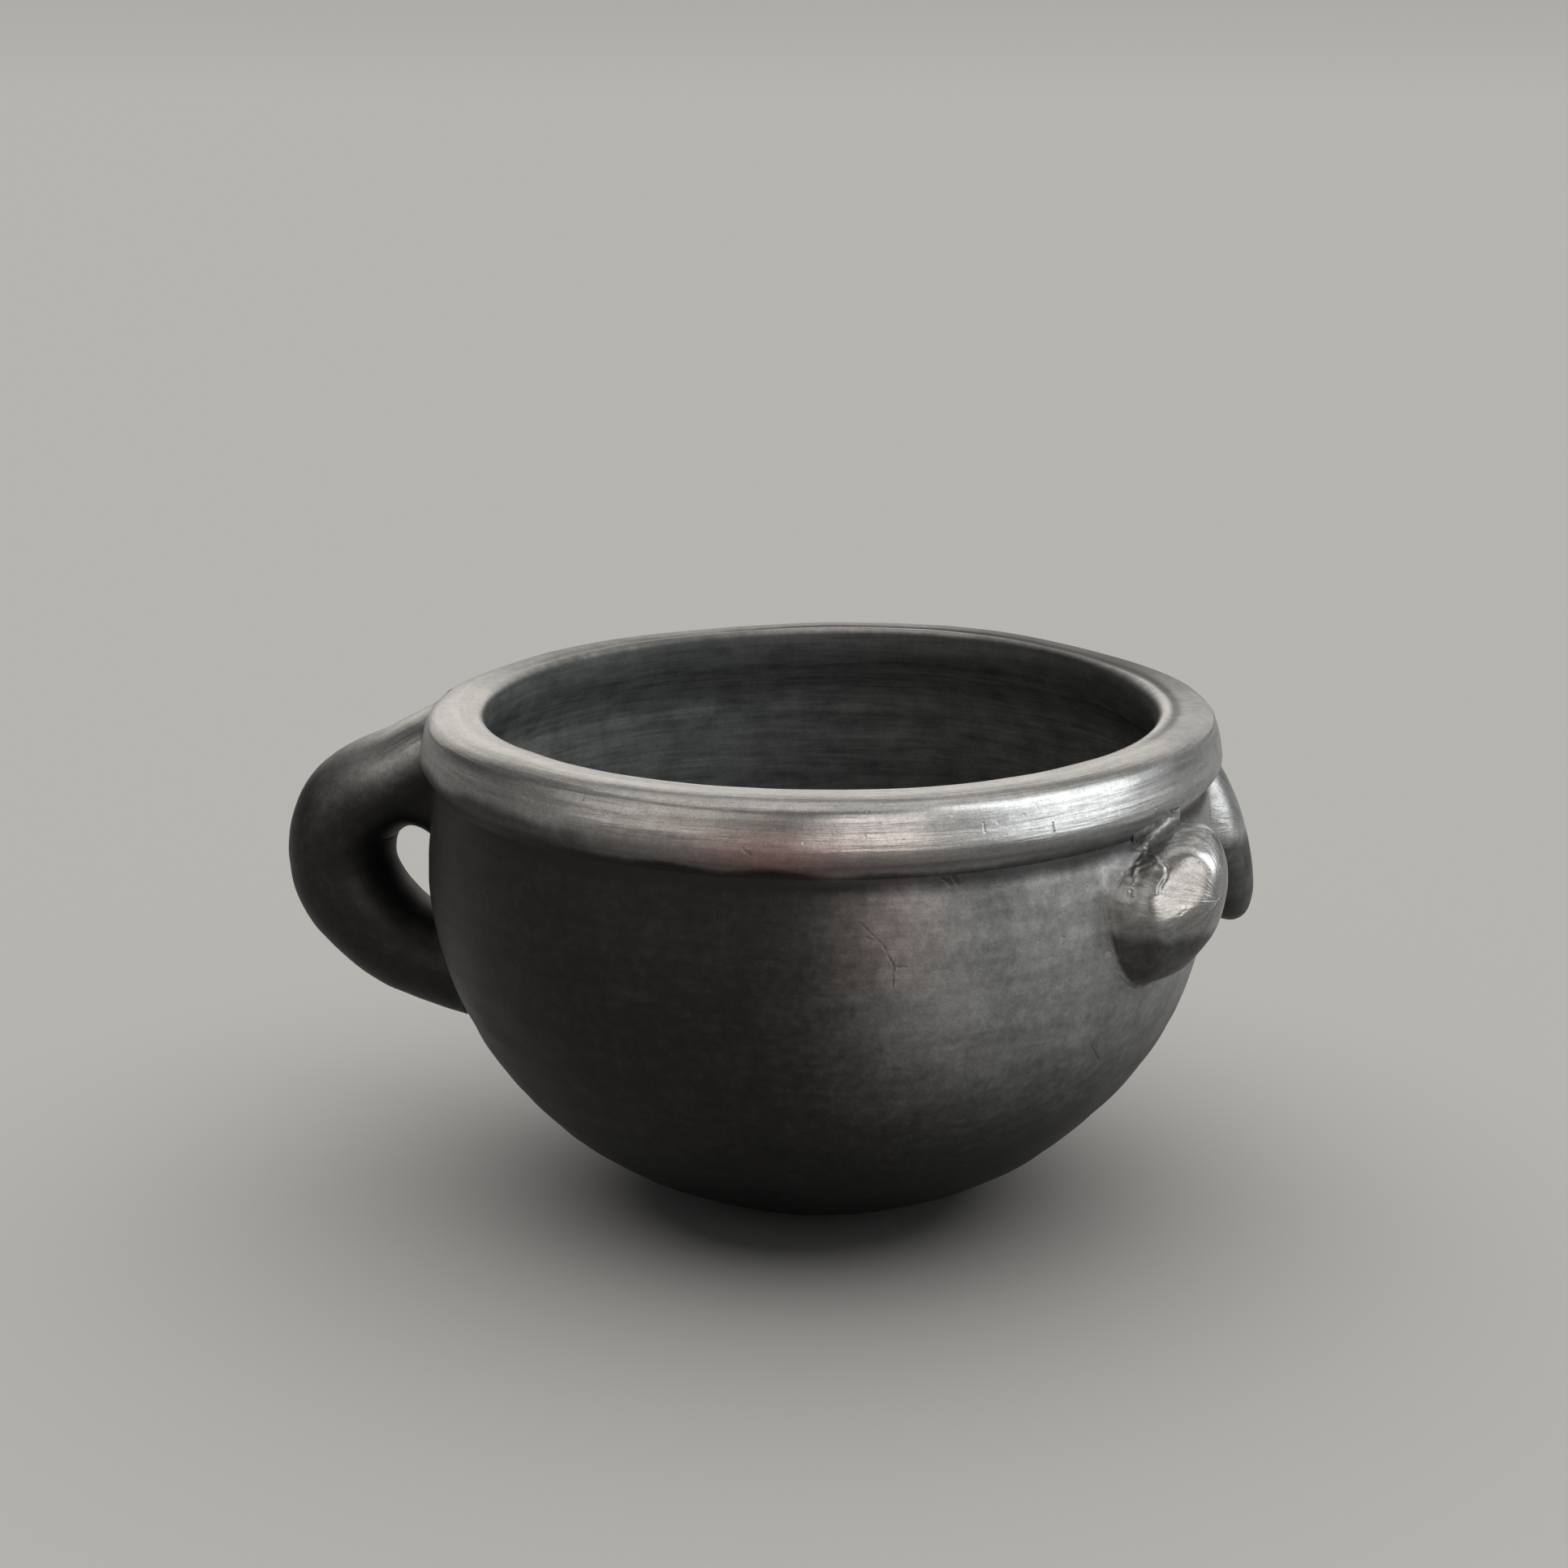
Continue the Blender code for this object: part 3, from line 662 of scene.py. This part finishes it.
def build_bowl():
    """Base, three coils and collar, each a closed ring cut from the one bowl surface."""
    points, normals = bowl_surface()
    collar = MARKS["collar"][0]
    row = np.repeat(np.arange(len(PROFILE)), COLUMNS)
    relief = clay_relief(points)
    relief = np.where(row > collar + OUTER_COLLAR_ROWS, relief * INSIDE_RELIEF, relief)
    points = points + normals * relief[:, None]
    on_foot = row < MARKS["base_out"][0] - 1
    points[on_foot, 2] = np.maximum(points[on_foot, 2], 0.0) * 0.2
    points[:, 2] = np.maximum(points[:, 2], 0.0)
    past_lip = row > collar + int(np.argmax(PROFILE[collar:, 1])) + 2
    inside = np.where(past_lip, fade(HEIGHT - points[:, 2], 0.6 * MM, 3.0 * MM), 0.0)
    looks = {key: value.reshape(len(PROFILE), COLUMNS, -1)
             for key, value in bowl_looks(points, inside).items()}
    grid = settle(points).reshape(len(PROFILE), COLUMNS, 3)

    def part(stretches):
        rows = np.concatenate([np.arange(a, b) for a, b in stretches])
        return grid[rows], {key: value[rows] for key, value in looks.items()}

    for name, stretches, slot in RINGS:
        ring, ring_looks = part([(MARKS[s][0], MARKS[s][1] + 1) for s in stretches])
        faces = grid_faces(len(ring), COLUMNS, wrap_rows=True)
        make_piece(name, ring.reshape(-1, 3), faces, slot, ring_looks)

    dish, dish_looks = part([(0, MARKS["base_out"][1] + 1), (MARKS["base_in"][0], len(PROFILE))])
    faces = capped_faces(len(dish), COLUMNS)
    make_piece("bowl_base", dish.reshape(-1, 3), faces, "bowl_clay", dish_looks)


# ---- handle, knob, lug and luting
def tube_normals(grid):
    """Outward normals of a grid of points that wraps across its columns."""
    along = np.gradient(grid, axis=0)
    around = np.roll(grid, -1, axis=1) - np.roll(grid, 1, axis=1)
    normal = np.cross(around, along)
    return normal / np.maximum(np.linalg.norm(normal, axis=-1, keepdims=True), 1e-9)


def finish_surface(grid, outward):
    """Add relief and sway to a grid, along normals that face the given way."""
    normal = tube_normals(grid)
    sign = np.sign((normal * outward).sum(axis=-1, keepdims=True))
    normal *= np.where(sign == 0, 1, sign)
    flat = grid.reshape(-1, 3)
    return settle(flat + normal.reshape(-1, 3) * clay_relief(flat)[:, None]).reshape(grid.shape)


def slope_of(distance, p):
    """Unit direction in which a distance grows fastest."""
    step = 0.05 * MM
    parts = [distance(p + axis * step) - distance(p - axis * step) for axis in np.eye(3)]
    return unit(np.stack(parts, axis=1))


def root_tip(corner):
    """Ring of points inside the wall where a root ends."""
    return settle(corner - ROOT_TIP * slope_of(wall_distance, corner))


def corner_along(member, ray_at, inside, outside, rays):
    """Where each column of a member's bare surface meets the wall, by halving a position."""
    distance = MEMBERS[member][0]
    low, high = np.full(rays, float(inside)), np.full(rays, float(outside))
    for _ in range(18):
        middle = (low + high) / 2
        origin, ray = ray_at(middle)
        point = origin + ray * walk_out(distance, origin, ray, 0.0, RAY_REACH)[:, None]
        free = wall_distance(point) > 0
        high = np.where(free, middle, high)
        low = np.where(free, low, middle)
    return high, point


def member_rows(member, ray_at, positions):
    """Surface points of a member at each row of positions, sunk where joint clay hides it."""
    distance, blend = MEMBERS[member]
    rows, rays = [], []
    for position in positions:
        origin, ray = ray_at(position)
        bare = walk_out(distance, origin, ray, 0.0, RAY_REACH)
        limit = bare + 0.6 * blend(origin)
        reach = walk_out(lambda p: member_distance(p, member), origin, ray, bare - 0.1 * MM, limit)
        point = origin + ray * reach[:, None]
        hidden = hidden_share(wall_distance(point), blend(point))
        rows.append(point - ray * (SUNK * hidden)[:, None])
        rays.append(ray)
    return np.array(rows), np.array(rays)


def plain_looks(p, sheen, painted_shading, stroke):
    """Looks of a piece outside the bowl."""
    even = np.ones(len(p))
    return {"sheen": sheen * even, "inside": 0 * even, "painted_shading": painted_shading * even, "painted_reflection": 0 * even,
            "stroke": stroke}


def luting_looks(points, rows, sheen):
    """Looks of a ring of joint clay: the wall's at its first row, turning to its own."""
    looks = bowl_looks(points, np.zeros(len(points)))
    columns = len(points) // (rows + 1)
    share = np.append(fade(np.linspace(0, 1, rows), 0.1, 1.0), 0.5)
    own = np.repeat(share, columns)
    own_sheen = np.tile(np.broadcast_to(sheen, columns), rows + 1)
    own_stroke = points * np.array([0.3, 0.3, 0.8])
    looks["sheen"] = looks["sheen"] * (1 - own) + own_sheen * own
    looks["stroke"] = looks["stroke"] * (1 - own)[:, None] + own_stroke * own[:, None]
    return looks


def build_luting(name, member, corner, sheen):
    """Ring of joint clay: fans of rays from the inner corner between the wall and a member."""
    distance, blend = MEMBERS[member]
    wall_way, member_way = slope_of(wall_distance, corner), slope_of(distance, corner)
    cosine = (wall_way * member_way).sum(axis=1, keepdims=True)
    along_wall = unit(member_way - cosine * wall_way)
    along_member = unit(wall_way - cosine * member_way)
    width = np.broadcast_to(blend(corner), len(corner))
    rows = []
    for angle in LUTING_ANGLES:
        ray = unit(math.cos(angle) * along_wall + math.sin(angle) * along_member)
        reach = walk_out(lambda p: member_distance(p, member), corner, ray,
                         0 * width, LUTING_LIMIT * width)
        never_left = reach > (LUTING_LIMIT - 0.01) * width
        reach = np.where(never_left, width, reach)
        shifts = range(-LUTING_SMOOTH, LUTING_SMOOTH + 1)
        reach = sum(np.roll(reach, shift) for shift in shifts) / len(shifts)
        rows.append(corner + ray * reach[:, None])
    grid = np.array(rows)
    outward = np.broadcast_to(wall_way + member_way, grid.shape)
    border = np.zeros(len(grid))
    border[[0, -1]] = LUTING_EDGE
    grid = finish_surface(grid, outward) - outward * border[:, None, None]
    back = settle(corner - LUTING_BACK * (wall_way + member_way))
    ring = np.concatenate([grid, back[None]])
    faces = grid_faces(len(ring), len(corner), wrap_rows=True)
    points = ring.reshape(-1, 3)
    make_piece(name, points, faces, "luting_clay", luting_looks(points, len(grid), sheen))


def closed_tube(name, grid, slot, sheen, stroke, painted_shading=1.0):
    """A grid of sections with a flat cap at each end, as a piece."""
    points = grid.reshape(-1, 3)
    looks = plain_looks(points, sheen, painted_shading, stroke.reshape(-1, 3))
    make_piece(name, points, capped_faces(*grid.shape[:2], flip=True), slot, looks)


def lengthwise_strokes(turn, rows, length, radii):
    """Stroke space of a tube: marks run along it, and are fine across it."""
    along = np.linspace(0, length, rows)[:, None] + 0 * turn
    return np.stack([along, np.cos(turn) * radii[0] + 0 * along,
                     np.sin(turn) * radii[1] + 0 * along], axis=-1)


def handle_ray(turn, position):
    """Origin on the handle's centre line and direction of the ray at each column's turn."""
    outward, sideways = axes(HANDLE_AZIMUTH)
    index = np.arange(len(HANDLE_LINE))
    radius, z, thick, wide = (np.interp(position, index, HANDLE_LINE[:, i]) for i in range(4))
    across, up = (np.interp(position, index, HANDLE_NORMAL[:, i]) for i in range(2))
    origin = radius[:, None] * outward + z[:, None] * UP
    normal = across[:, None] * outward + up[:, None] * UP
    ray = (np.cos(turn) * thick)[:, None] * normal + (np.sin(turn) * wide)[:, None] * sideways
    return origin, unit(ray)


def build_handle():
    """The loop and its two roots; each section is pushed out to the filleted surface."""
    turn = np.linspace(0, 2 * math.pi, HANDLE_COLUMNS, endpoint=False)

    def ray_at(position):
        return handle_ray(turn, position)

    start, middle, stop = 0, len(HANDLE_LINE) / 2, len(HANDLE_LINE) - 1
    first, upper = corner_along("handle", ray_at, start, middle, HANDLE_COLUMNS)
    last, lower = corner_along("handle", ray_at, stop, middle, HANDLE_COLUMNS)
    share = np.linspace(0, 1, HANDLE_ROWS)[:, None]
    grid, rays = member_rows("handle", ray_at, first + (last - first) * share)
    grid = finish_surface(grid, rays)
    full = np.concatenate([root_tip(upper)[None], grid, root_tip(lower)[None]])
    stroke = lengthwise_strokes(turn, len(full), 0.011, (0.012, 0.014))
    # Painted highlight along the top of the upper half and its root; painted shade on the inner
    # side of the loop
    upper_half = fade(1 - np.linspace(0, 1, len(full)), 0.55, 1.0)[:, None]
    painted_highlight_top = fade(np.cos(turn - 0.4), 0.05, 0.95)
    painted_shade_inner = fade(-np.cos(turn), 0.2, 0.9) * np.ones((len(full), 1))
    sheen = HANDLE_SHEEN + HANDLE_PAINTED_HIGHLIGHT * upper_half * painted_highlight_top[None]
    painted_shading = 1 - 0.7 * painted_shade_inner.ravel()
    closed_tube("loop_handle", full, "handle_clay", sheen.ravel(), stroke, painted_shading)
    upper_sheen = UPPER_LUTING_SHEEN + HANDLE_PAINTED_HIGHLIGHT * painted_highlight_top
    build_luting("handle_upper_luting", "handle", upper, upper_sheen)
    build_luting("handle_lower_luting", "handle", lower, LOWER_LUTING_SHEEN)


def build_stub(name, member, shape, sheen):
    """A knob or lug and its root: a fan of rays from inside it, pushed out to the surface."""
    foot, outward, sideways = stub_frame(shape)
    centre = foot - outward * 3 * MM - UP * shape["sag"] * MM * 0.35
    turn = np.linspace(0, 2 * math.pi, STUB_COLUMNS, endpoint=False)
    across = np.cos(turn)[:, None] * UP + np.sin(turn)[:, None] * sideways

    def ray_at(angle):
        ray = np.cos(angle)[:, None] * outward + np.sin(angle)[:, None] * across
        return np.broadcast_to(centre, ray.shape), ray

    behind, ahead = math.radians(95), math.radians(20)
    edge, corner = corner_along(member, ray_at, behind, ahead, STUB_COLUMNS)
    share = np.linspace(0.004, 1, STUB_ROWS)[:, None]
    grid, rays = member_rows(member, ray_at, edge * share)
    grid = finish_surface(grid, rays)
    full = np.concatenate([grid, root_tip(corner)[None]])
    stroke = lengthwise_strokes(turn, len(full), 0.0052, (0.010, 0.010))
    # Painted shade on the underside of the knob and lug: less sheen lower down, carried on to the
    # joint clay
    below = fade(foot[2] - full[..., 2], 0.5 * MM, 8.0 * MM)
    shine = sheen * (1 - 0.75 * below)
    closed_tube(name, full, "knob_clay", shine.ravel(), stroke)
    build_luting(name + "_luting", member, corner, KNOB_LUTING_SHARE * shine[-2])


# ---- material
class Nodes:
    """Short ways of adding shader nodes to one material."""

    def __init__(self, tree):
        self.tree = tree

    def add(self, kind, inputs=None, **settings):
        node = self.tree.nodes.new(kind)
        for key, value in settings.items():
            setattr(node, key, value)
        for key, value in (inputs or {}).items():
            self.feed(node.inputs[key], value)
        return node

    def feed(self, socket, value):
        if isinstance(value, bpy.types.NodeSocket):
            self.tree.links.new(value, socket)
        else:
            socket.default_value = value

    def math(self, operation, *values):
        node = self.add("ShaderNodeMath", dict(enumerate(values)), operation=operation)
        return node.outputs[0]

    def times(self, a, b):
        return self.math("MULTIPLY", a, b)

    def total(self, first, *others):
        """Sum of several values."""
        for other in others:
            first = self.math("ADD", first, other)
        return first

    def about_zero(self, noise, amount):
        """A noise of 0 to 1 moved to run either side of zero, and scaled."""
        return self.times(self.math("SUBTRACT", noise, 0.5), amount)

    def range(self, value, low, high, new_low=0.0, new_high=1.0):
        """Smooth step between two values."""
        inputs = dict(enumerate((value, low, high, new_low, new_high)))
        return self.add("ShaderNodeMapRange", inputs, interpolation_type="SMOOTHSTEP").outputs[0]

    def noise(self, vector, size, detail, rough):
        inputs = {"Vector": vector, "Scale": 1 / size, "Detail": detail, "Roughness": rough}
        return self.add("ShaderNodeTexNoise", inputs).outputs["Fac"]

    def attribute(self, name, output="Fac"):
        return self.add("ShaderNodeAttribute", attribute_name=name).outputs[output]

    def vector(self, operation, a, b, output="Vector"):
        node = self.add("ShaderNodeVectorMath", {0: a, 1: b}, operation=operation)
        return node.outputs[output]

    def scale(self, vector, factor):
        inputs = {0: vector, "Scale": factor}
        return self.add("ShaderNodeVectorMath", inputs, operation="SCALE").outputs[0]

    def mix(self, factor, a, b):
        """Blend of two colours."""
        inputs = {0: factor, 6: a, 7: b}
        return self.add("ShaderNodeMix", inputs, data_type="RGBA").outputs[2]

    def segment(self, place, start, stop):
        """Distance from a place to a straight line between two points."""
        along = np.array(stop) - np.array(start)
        offset = self.vector("SUBTRACT", place, tuple(start))
        share = self.vector("DOT_PRODUCT", offset, tuple(along / (along @ along)), "Value")
        clamp = self.add("ShaderNodeClamp", {"Value": share})
        nearest = self.scale(tuple(along), clamp.outputs[0])
        return self.vector("DISTANCE", offset, nearest, "Value")


# Scratches on the bowl as pairs of (azimuth in degrees, depth in mm), half width, and depth
SCRATCHES = [
    ((-85.4, 25.2), (-82.4, 30.0), 0.20, 0.5),
    ((-82.4, 30.0), (-80.9, 34.6), 0.25, 1.0),
    ((-80.9, 34.6), (-81.1, 38.8), 0.22, 1.0),
    ((-80.9, 34.6), (-79.2, 34.8), 0.20, 0.8),
    ((-84.8, 28.2), (-82.9, 29.4), 0.18, 0.5),
    ((-73.9, 17.4), (-73.0, 18.3), 0.45, 1.2),
    ((-72.6, 17.2), (-71.9, 18.6), 0.40, 1.0),
    ((-69.0, 5.6), (-68.9, 7.2), 0.25, 1.0),
    ((-58.8, 7.6), (-58.7, 9.3), 0.25, 1.0),
    ((-48.2, 60.0), (-45.4, 64.2), 0.25, 1.0),
    ((-47.0, 60.5), (-46.0, 63.0), 0.20, 0.7),
    ((-100.5, 9.5), (-99.8, 10.4), 0.30, 0.8),
    ((96.0, 31.0), (99.0, 36.0), 0.25, 1.0),
    ((62.0, 58.0), (60.5, 63.0), 0.25, 1.0),
    ((128.0, 22.0), (131.0, 23.5), 0.25, 0.8),
]


def on_bowl(azimuth, depth):
    """Point on the bowl's outer wall, with its relief and sway."""
    z = HEIGHT - depth * MM
    radius = np.interp(z, OUTSIDE[:, 1], OUTSIDE[:, 0])
    outward, _ = axes(math.radians(azimuth))
    point = outward * radius + np.array([0, 0, z])
    point = point[None] + outward * clay_relief(point[None])[:, None]
    return settle(point)[0]


# Noises of the clay: the space they lie in, size in mm, detail and roughness
NOISES = {
    "wide": ("stroke", 4.0, 3.0, 0.55),
    "fine": ("stroke", 0.9, 3.0, 0.6),
    "worn": ("stroke", 2.2, 4.0, 0.65),
    "cloud": ("place", 26.0, 3.0, 0.55),
    "grain": ("place", 0.45, 2.0, 0.7),
    "speck": ("place", 2.2, 3.0, 0.65),
    "mottle": ("place", 8.0, 5.0, 0.68),
    "ragged": ("place", 1.6, 4.0, 0.65),
}
# Colours as pairs that a noise blends
SOOT = (0.0042, 0.0043, 0.0046, 1), (0.0088, 0.0082, 0.0077, 1)
MATT_CLAY = (0.018, 0.020, 0.0205, 1), (0.068, 0.072, 0.070, 1)
GRAPHITE = (0.178, 0.178, 0.175, 1), (0.30, 0.297, 0.29, 1)
# Tint of the painted warm reflection
PAINTED_REFLECTION_TINT = (1, 1, 1, 1), (1.22, 0.80, 0.78, 1)


def burnish_and_painted_light_share(n, value):
    """How strongly the clay looks rubbed, 0 to 1: burnish and painted highlights and shade from
    the painted sheen, broken up by the noises.
    """
    sheen = value["sheen"]
    streak = n.range(sheen, 0.45, 0.8, 0.05, 0.26)
    blotch = n.range(sheen, 0.1, 0.45, 0.12, 0.34)
    amounts = {"wide": streak, "fine": streak, "speck": 0.14, "mottle": blotch}
    rubbed = n.total(sheen, *[n.about_zero(value[key], size) for key, size in amounts.items()])
    outside = n.math("SUBTRACT", 1.0, value["inside"])
    rubbed = n.math("MAXIMUM", n.times(rubbed, outside), 0.0)
    return n.range(rubbed, 0.05, 0.95)


def scratch_depth(n, value):
    """Depth of the scratches, 0 to 1, with ragged edges."""
    cuts = 0.0
    for start, stop, width, strength in SCRATCHES:
        gap = n.segment(value["place"], on_bowl(*start), on_bowl(*stop))
        gap = n.math("ADD", gap, n.about_zero(value["ragged"], 1.5 * MM))
        cut = n.range(gap, 0.3 * width * MM, 1.9 * width * MM, strength, 0.0)
        cuts = n.math("MAXIMUM", cuts, cut)
    return cuts


def clay_colour(n, value, bright, cuts):
    """Soot where plain, graphite where rubbed and where a highlight is painted, matt grey inside,
    with a faint painted warm reflection.
    """
    shares = {"mottle": 0.4, "wide": 0.3, "fine": 0.3}
    patches = n.total(*[n.times(value[key], share) for key, share in shares.items()])
    outside = n.mix(bright, n.mix(value["cloud"], *SOOT), n.mix(value["speck"], *GRAPHITE))
    matt = n.mix(n.range(patches, 0.3, 0.7), *MATT_CLAY)
    colour = n.mix(value["inside"], outside, matt)
    painted_reflection = n.times(value["painted_reflection"], n.range(value["cloud"], 0.3, 0.7, 0.5, 1.0))
    colour = n.vector("MULTIPLY", colour, n.mix(painted_reflection, *PAINTED_REFLECTION_TINT))
    scratched = n.math("SUBTRACT", 1.0, n.times(cuts, 0.35))
    worn_low = n.range(value["sheen"], 0.4, 0.8, 0.95, 0.74)
    grain = n.range(value["grain"], 0.25, 0.75, 0.84, 1.16)
    worn = n.range(value["worn"], 0.3, 0.7, worn_low, 1.12)
    shade = n.times(n.times(n.times(value["painted_shading"], scratched), grain), worn)
    return n.scale(colour, shade)


def clay_height(n, value, cuts):
    """Height of the finest relief: stroke lines, mottle, grain, pits and scratches."""
    pits = n.add("ShaderNodeTexVoronoi", {"Vector": value["place"], "Scale": 1 / (3.2 * MM)})
    pit = n.range(pits.outputs["Distance"], 0.05, 0.14, -1.0, 0.0)
    lines = n.math("ADD", n.about_zero(value["fine"], 0.10 * MM),
                   n.times(value["wide"], 0.16 * MM))
    lines = n.times(lines, n.range(value["sheen"], 0.4, 0.8, 0.35, 1.15))
    height = n.total(lines, n.times(value["mottle"], 0.10 * MM),
                     n.times(value["grain"], 0.022 * MM), n.times(pit, 0.05 * MM))
    return n.math("SUBTRACT", height, n.times(cuts, 0.16 * MM))


def clay_material(name):
    """Burnished black clay: soot-black and soft where plain, graphite-bright where rubbed and
    where a highlight is painted.
    """
    material = bpy.data.materials.new(name)
    material.use_nodes = True
    shader = material.node_tree.nodes["Principled BSDF"]
    n = Nodes(material.node_tree)
    value = {key: n.attribute(key) for key in ("sheen", "inside", "painted_shading", "painted_reflection")}
    value["place"] = n.add("ShaderNodeTexCoord").outputs["Object"]
    value["stroke"] = n.attribute("stroke", "Vector")
    for key, (space, size, detail, rough) in NOISES.items():
        value[key] = n.noise(value[space], size * MM, detail, rough)
    bright = burnish_and_painted_light_share(n, value)
    cuts = scratch_depth(n, value)
    shader.inputs["Specular IOR Level"].default_value = 0.13
    n.feed(shader.inputs["Base Color"], clay_colour(n, value, bright, cuts))
    n.feed(shader.inputs["Metallic"], n.times(bright, 0.92))
    polished = n.math("SUBTRACT", 0.47, n.times(bright, 0.14))
    roughness = n.total(polished, n.times(value["inside"], 0.2),
                        n.about_zero(value["fine"], 0.12))
    n.feed(shader.inputs["Roughness"], roughness)
    height = clay_height(n, value, cuts)
    bumps = n.add("ShaderNodeBump", {"Strength": 0.7, "Distance": 1.0, "Height": height})
    n.feed(shader.inputs["Normal"], bumps.outputs["Normal"])
    return material


# ---- floor, light, camera
FLOOR_REACH = 6.1  # half side of the floor
BACKDROP_RADIUS, BACKDROP_BEND, BACKDROP_TOP = 6.0, 3.0, 7.0
STAGE_SIDES = 96
LIGHT_DISTANCE = 4.0
# Soft boxes that light the pot: azimuth, elevation, (width, height), radiance and colour; degrees
SOFTBOXES = {
    "front_right": (-72, 13, (28, 42), 4.4, (1.0, 0.95, 0.89)),
    "right": (-14, 27, (54, 66), 5.8, (0.96, 1.0, 1.01)),
    "behind": (92, 22, (80, 36), 1.7, (1.0, 0.95, 0.88)),
    "front_left": (-140, 20, (62, 36), 1.7, (1.0, 0.945, 0.87)),
    "above": (90, 86, (80, 60), 1.7, (1.0, 0.955, 0.89)),
}
CAMERA_RISE = 0.2285  # radians above the rim, seen from its middle
CAMERA_DOWN = 0.0259  # how far below the middle of the rim it points
CAMERA_SIDE = -0.0925 * RIM
CAMERA_RADII = 8  # its distance in radii of the rim
RIM_IN_VIEW = 0.25465839  # share of the view's width that one radius takes
SENSOR = 36

PALE = bpy.data.materials.new("pale_floor")
STAGE = bpy.data.collections.new("stage")
SCENE.collection.children.link(STAGE)


def stage_piece(name, points, faces):
    """A pale piece of the stage."""
    mesh = bpy.data.meshes.new(name)
    mesh.from_pydata(points, [], faces)
    mesh.shade_smooth()
    mesh.materials.append(PALE)
    piece = bpy.data.objects.new(name, mesh)
    STAGE.objects.link(piece)
    return piece


def build_stage():
    """A pale floor, and far off a backdrop that curves up all round it."""
    PALE.use_nodes = True
    shader = PALE.node_tree.nodes["Principled BSDF"]
    shader.inputs["Base Color"].default_value = (0.62, 0.605, 0.58, 1)
    shader.inputs["Roughness"].default_value = 0.9
    shader.inputs["Specular IOR Level"].default_value = 0.1
    a = FLOOR_REACH
    stage_piece("floor", [(-a, -a, 0), (a, -a, 0), (a, a, 0), (-a, a, 0)], [(0, 1, 2, 3)])
    section = [(BACKDROP_RADIUS + BACKDROP_BEND * math.sin(a), BACKDROP_BEND * (1 - math.cos(a)))
               for a in np.radians(range(0, 91, 5))]
    section.append((BACKDROP_RADIUS + BACKDROP_BEND, BACKDROP_TOP))
    around = np.linspace(0, 2 * math.pi, STAGE_SIDES, endpoint=False)
    points = [(r * math.cos(a), r * math.sin(a), z) for r, z in section for a in around]
    backdrop = stage_piece("backdrop", points, grid_faces(len(section), STAGE_SIDES))
    backdrop.visible_glossy = False
    backdrop.visible_diffuse = False
    backdrop.visible_shadow = False


def add_light(data, colour, lit):
    """A light that falls on one collection only."""
    data.color = colour
    light = bpy.data.objects.new(data.name, data)
    light.light_linking.receiver_collection = lit
    SCENE.collection.objects.link(light)
    return light


def add_softbox(name, azimuth, elevation, spread, radiance, colour):
    """A soft light four metres off that faces the pot."""
    turn, lift = math.radians(azimuth), math.radians(elevation)
    data = bpy.data.lights.new(name, "AREA")
    data.shape = "RECTANGLE"
    data.size = LIGHT_DISTANCE * math.radians(spread[0])
    data.size_y = LIGHT_DISTANCE * math.radians(spread[1])
    data.energy = math.pi * data.size * data.size_y * radiance
    light = add_light(data, colour, POT)
    away = LIGHT_DISTANCE * math.cos(lift)
    light.location = (away * math.cos(turn), away * math.sin(turn),
                      0.1 + LIGHT_DISTANCE * math.sin(lift))
    light.rotation_euler = (math.pi / 2 - lift, 0, turn + math.pi / 2)
    light.visible_camera = False


def build_lights():
    """Soft boxes about the pot, and an even overhead light for the floor."""
    world = bpy.data.worlds.new("soft_room")
    world.use_nodes = True
    background = world.node_tree.nodes["Background"]
    background.inputs["Color"].default_value = (0.95, 0.97, 1.0, 1)
    background.inputs["Strength"].default_value = 0.12
    SCENE.world = world
    SCENE.view_settings.view_transform = "Standard"
    for name, settings in SOFTBOXES.items():
        add_softbox(name, *settings)
    data = bpy.data.lights.new("floor_light", "SUN")
    data.energy = 2.1
    data.angle = math.radians(110)
    light = add_light(data, (1.0, 0.99, 0.97), STAGE)
    light.rotation_euler = (math.radians(-14), math.radians(5), 0)


def build_camera():
    """A level camera a little above the rim, eight rim radii away."""
    distance = CAMERA_RADII * RIM
    data = bpy.data.cameras.new("camera")
    data.sensor_width = SENSOR
    data.lens = SENSOR * CAMERA_RADII * RIM_IN_VIEW
    data.clip_start = 0.01
    camera = bpy.data.objects.new("camera", data)
    camera.location = (CAMERA_SIDE, -distance * math.cos(CAMERA_RISE),
                       HEIGHT + distance * math.sin(CAMERA_RISE))
    camera.rotation_euler = (math.pi / 2 - CAMERA_RISE - CAMERA_DOWN, 0, 0)
    SCENE.collection.objects.link(camera)
    SCENE.camera = camera


CLAY = {slot: clay_material(slot) for slot in
        ("bowl_clay", "rim_clay", "handle_clay", "knob_clay", "luting_clay")}
build_bowl()
build_handle()
build_stub("front_knob", "knob", KNOB, KNOB_SHEEN)
build_stub("side_lug", "lug", LUG, LUG_SHEEN)
build_stage()
build_lights()
build_camera()
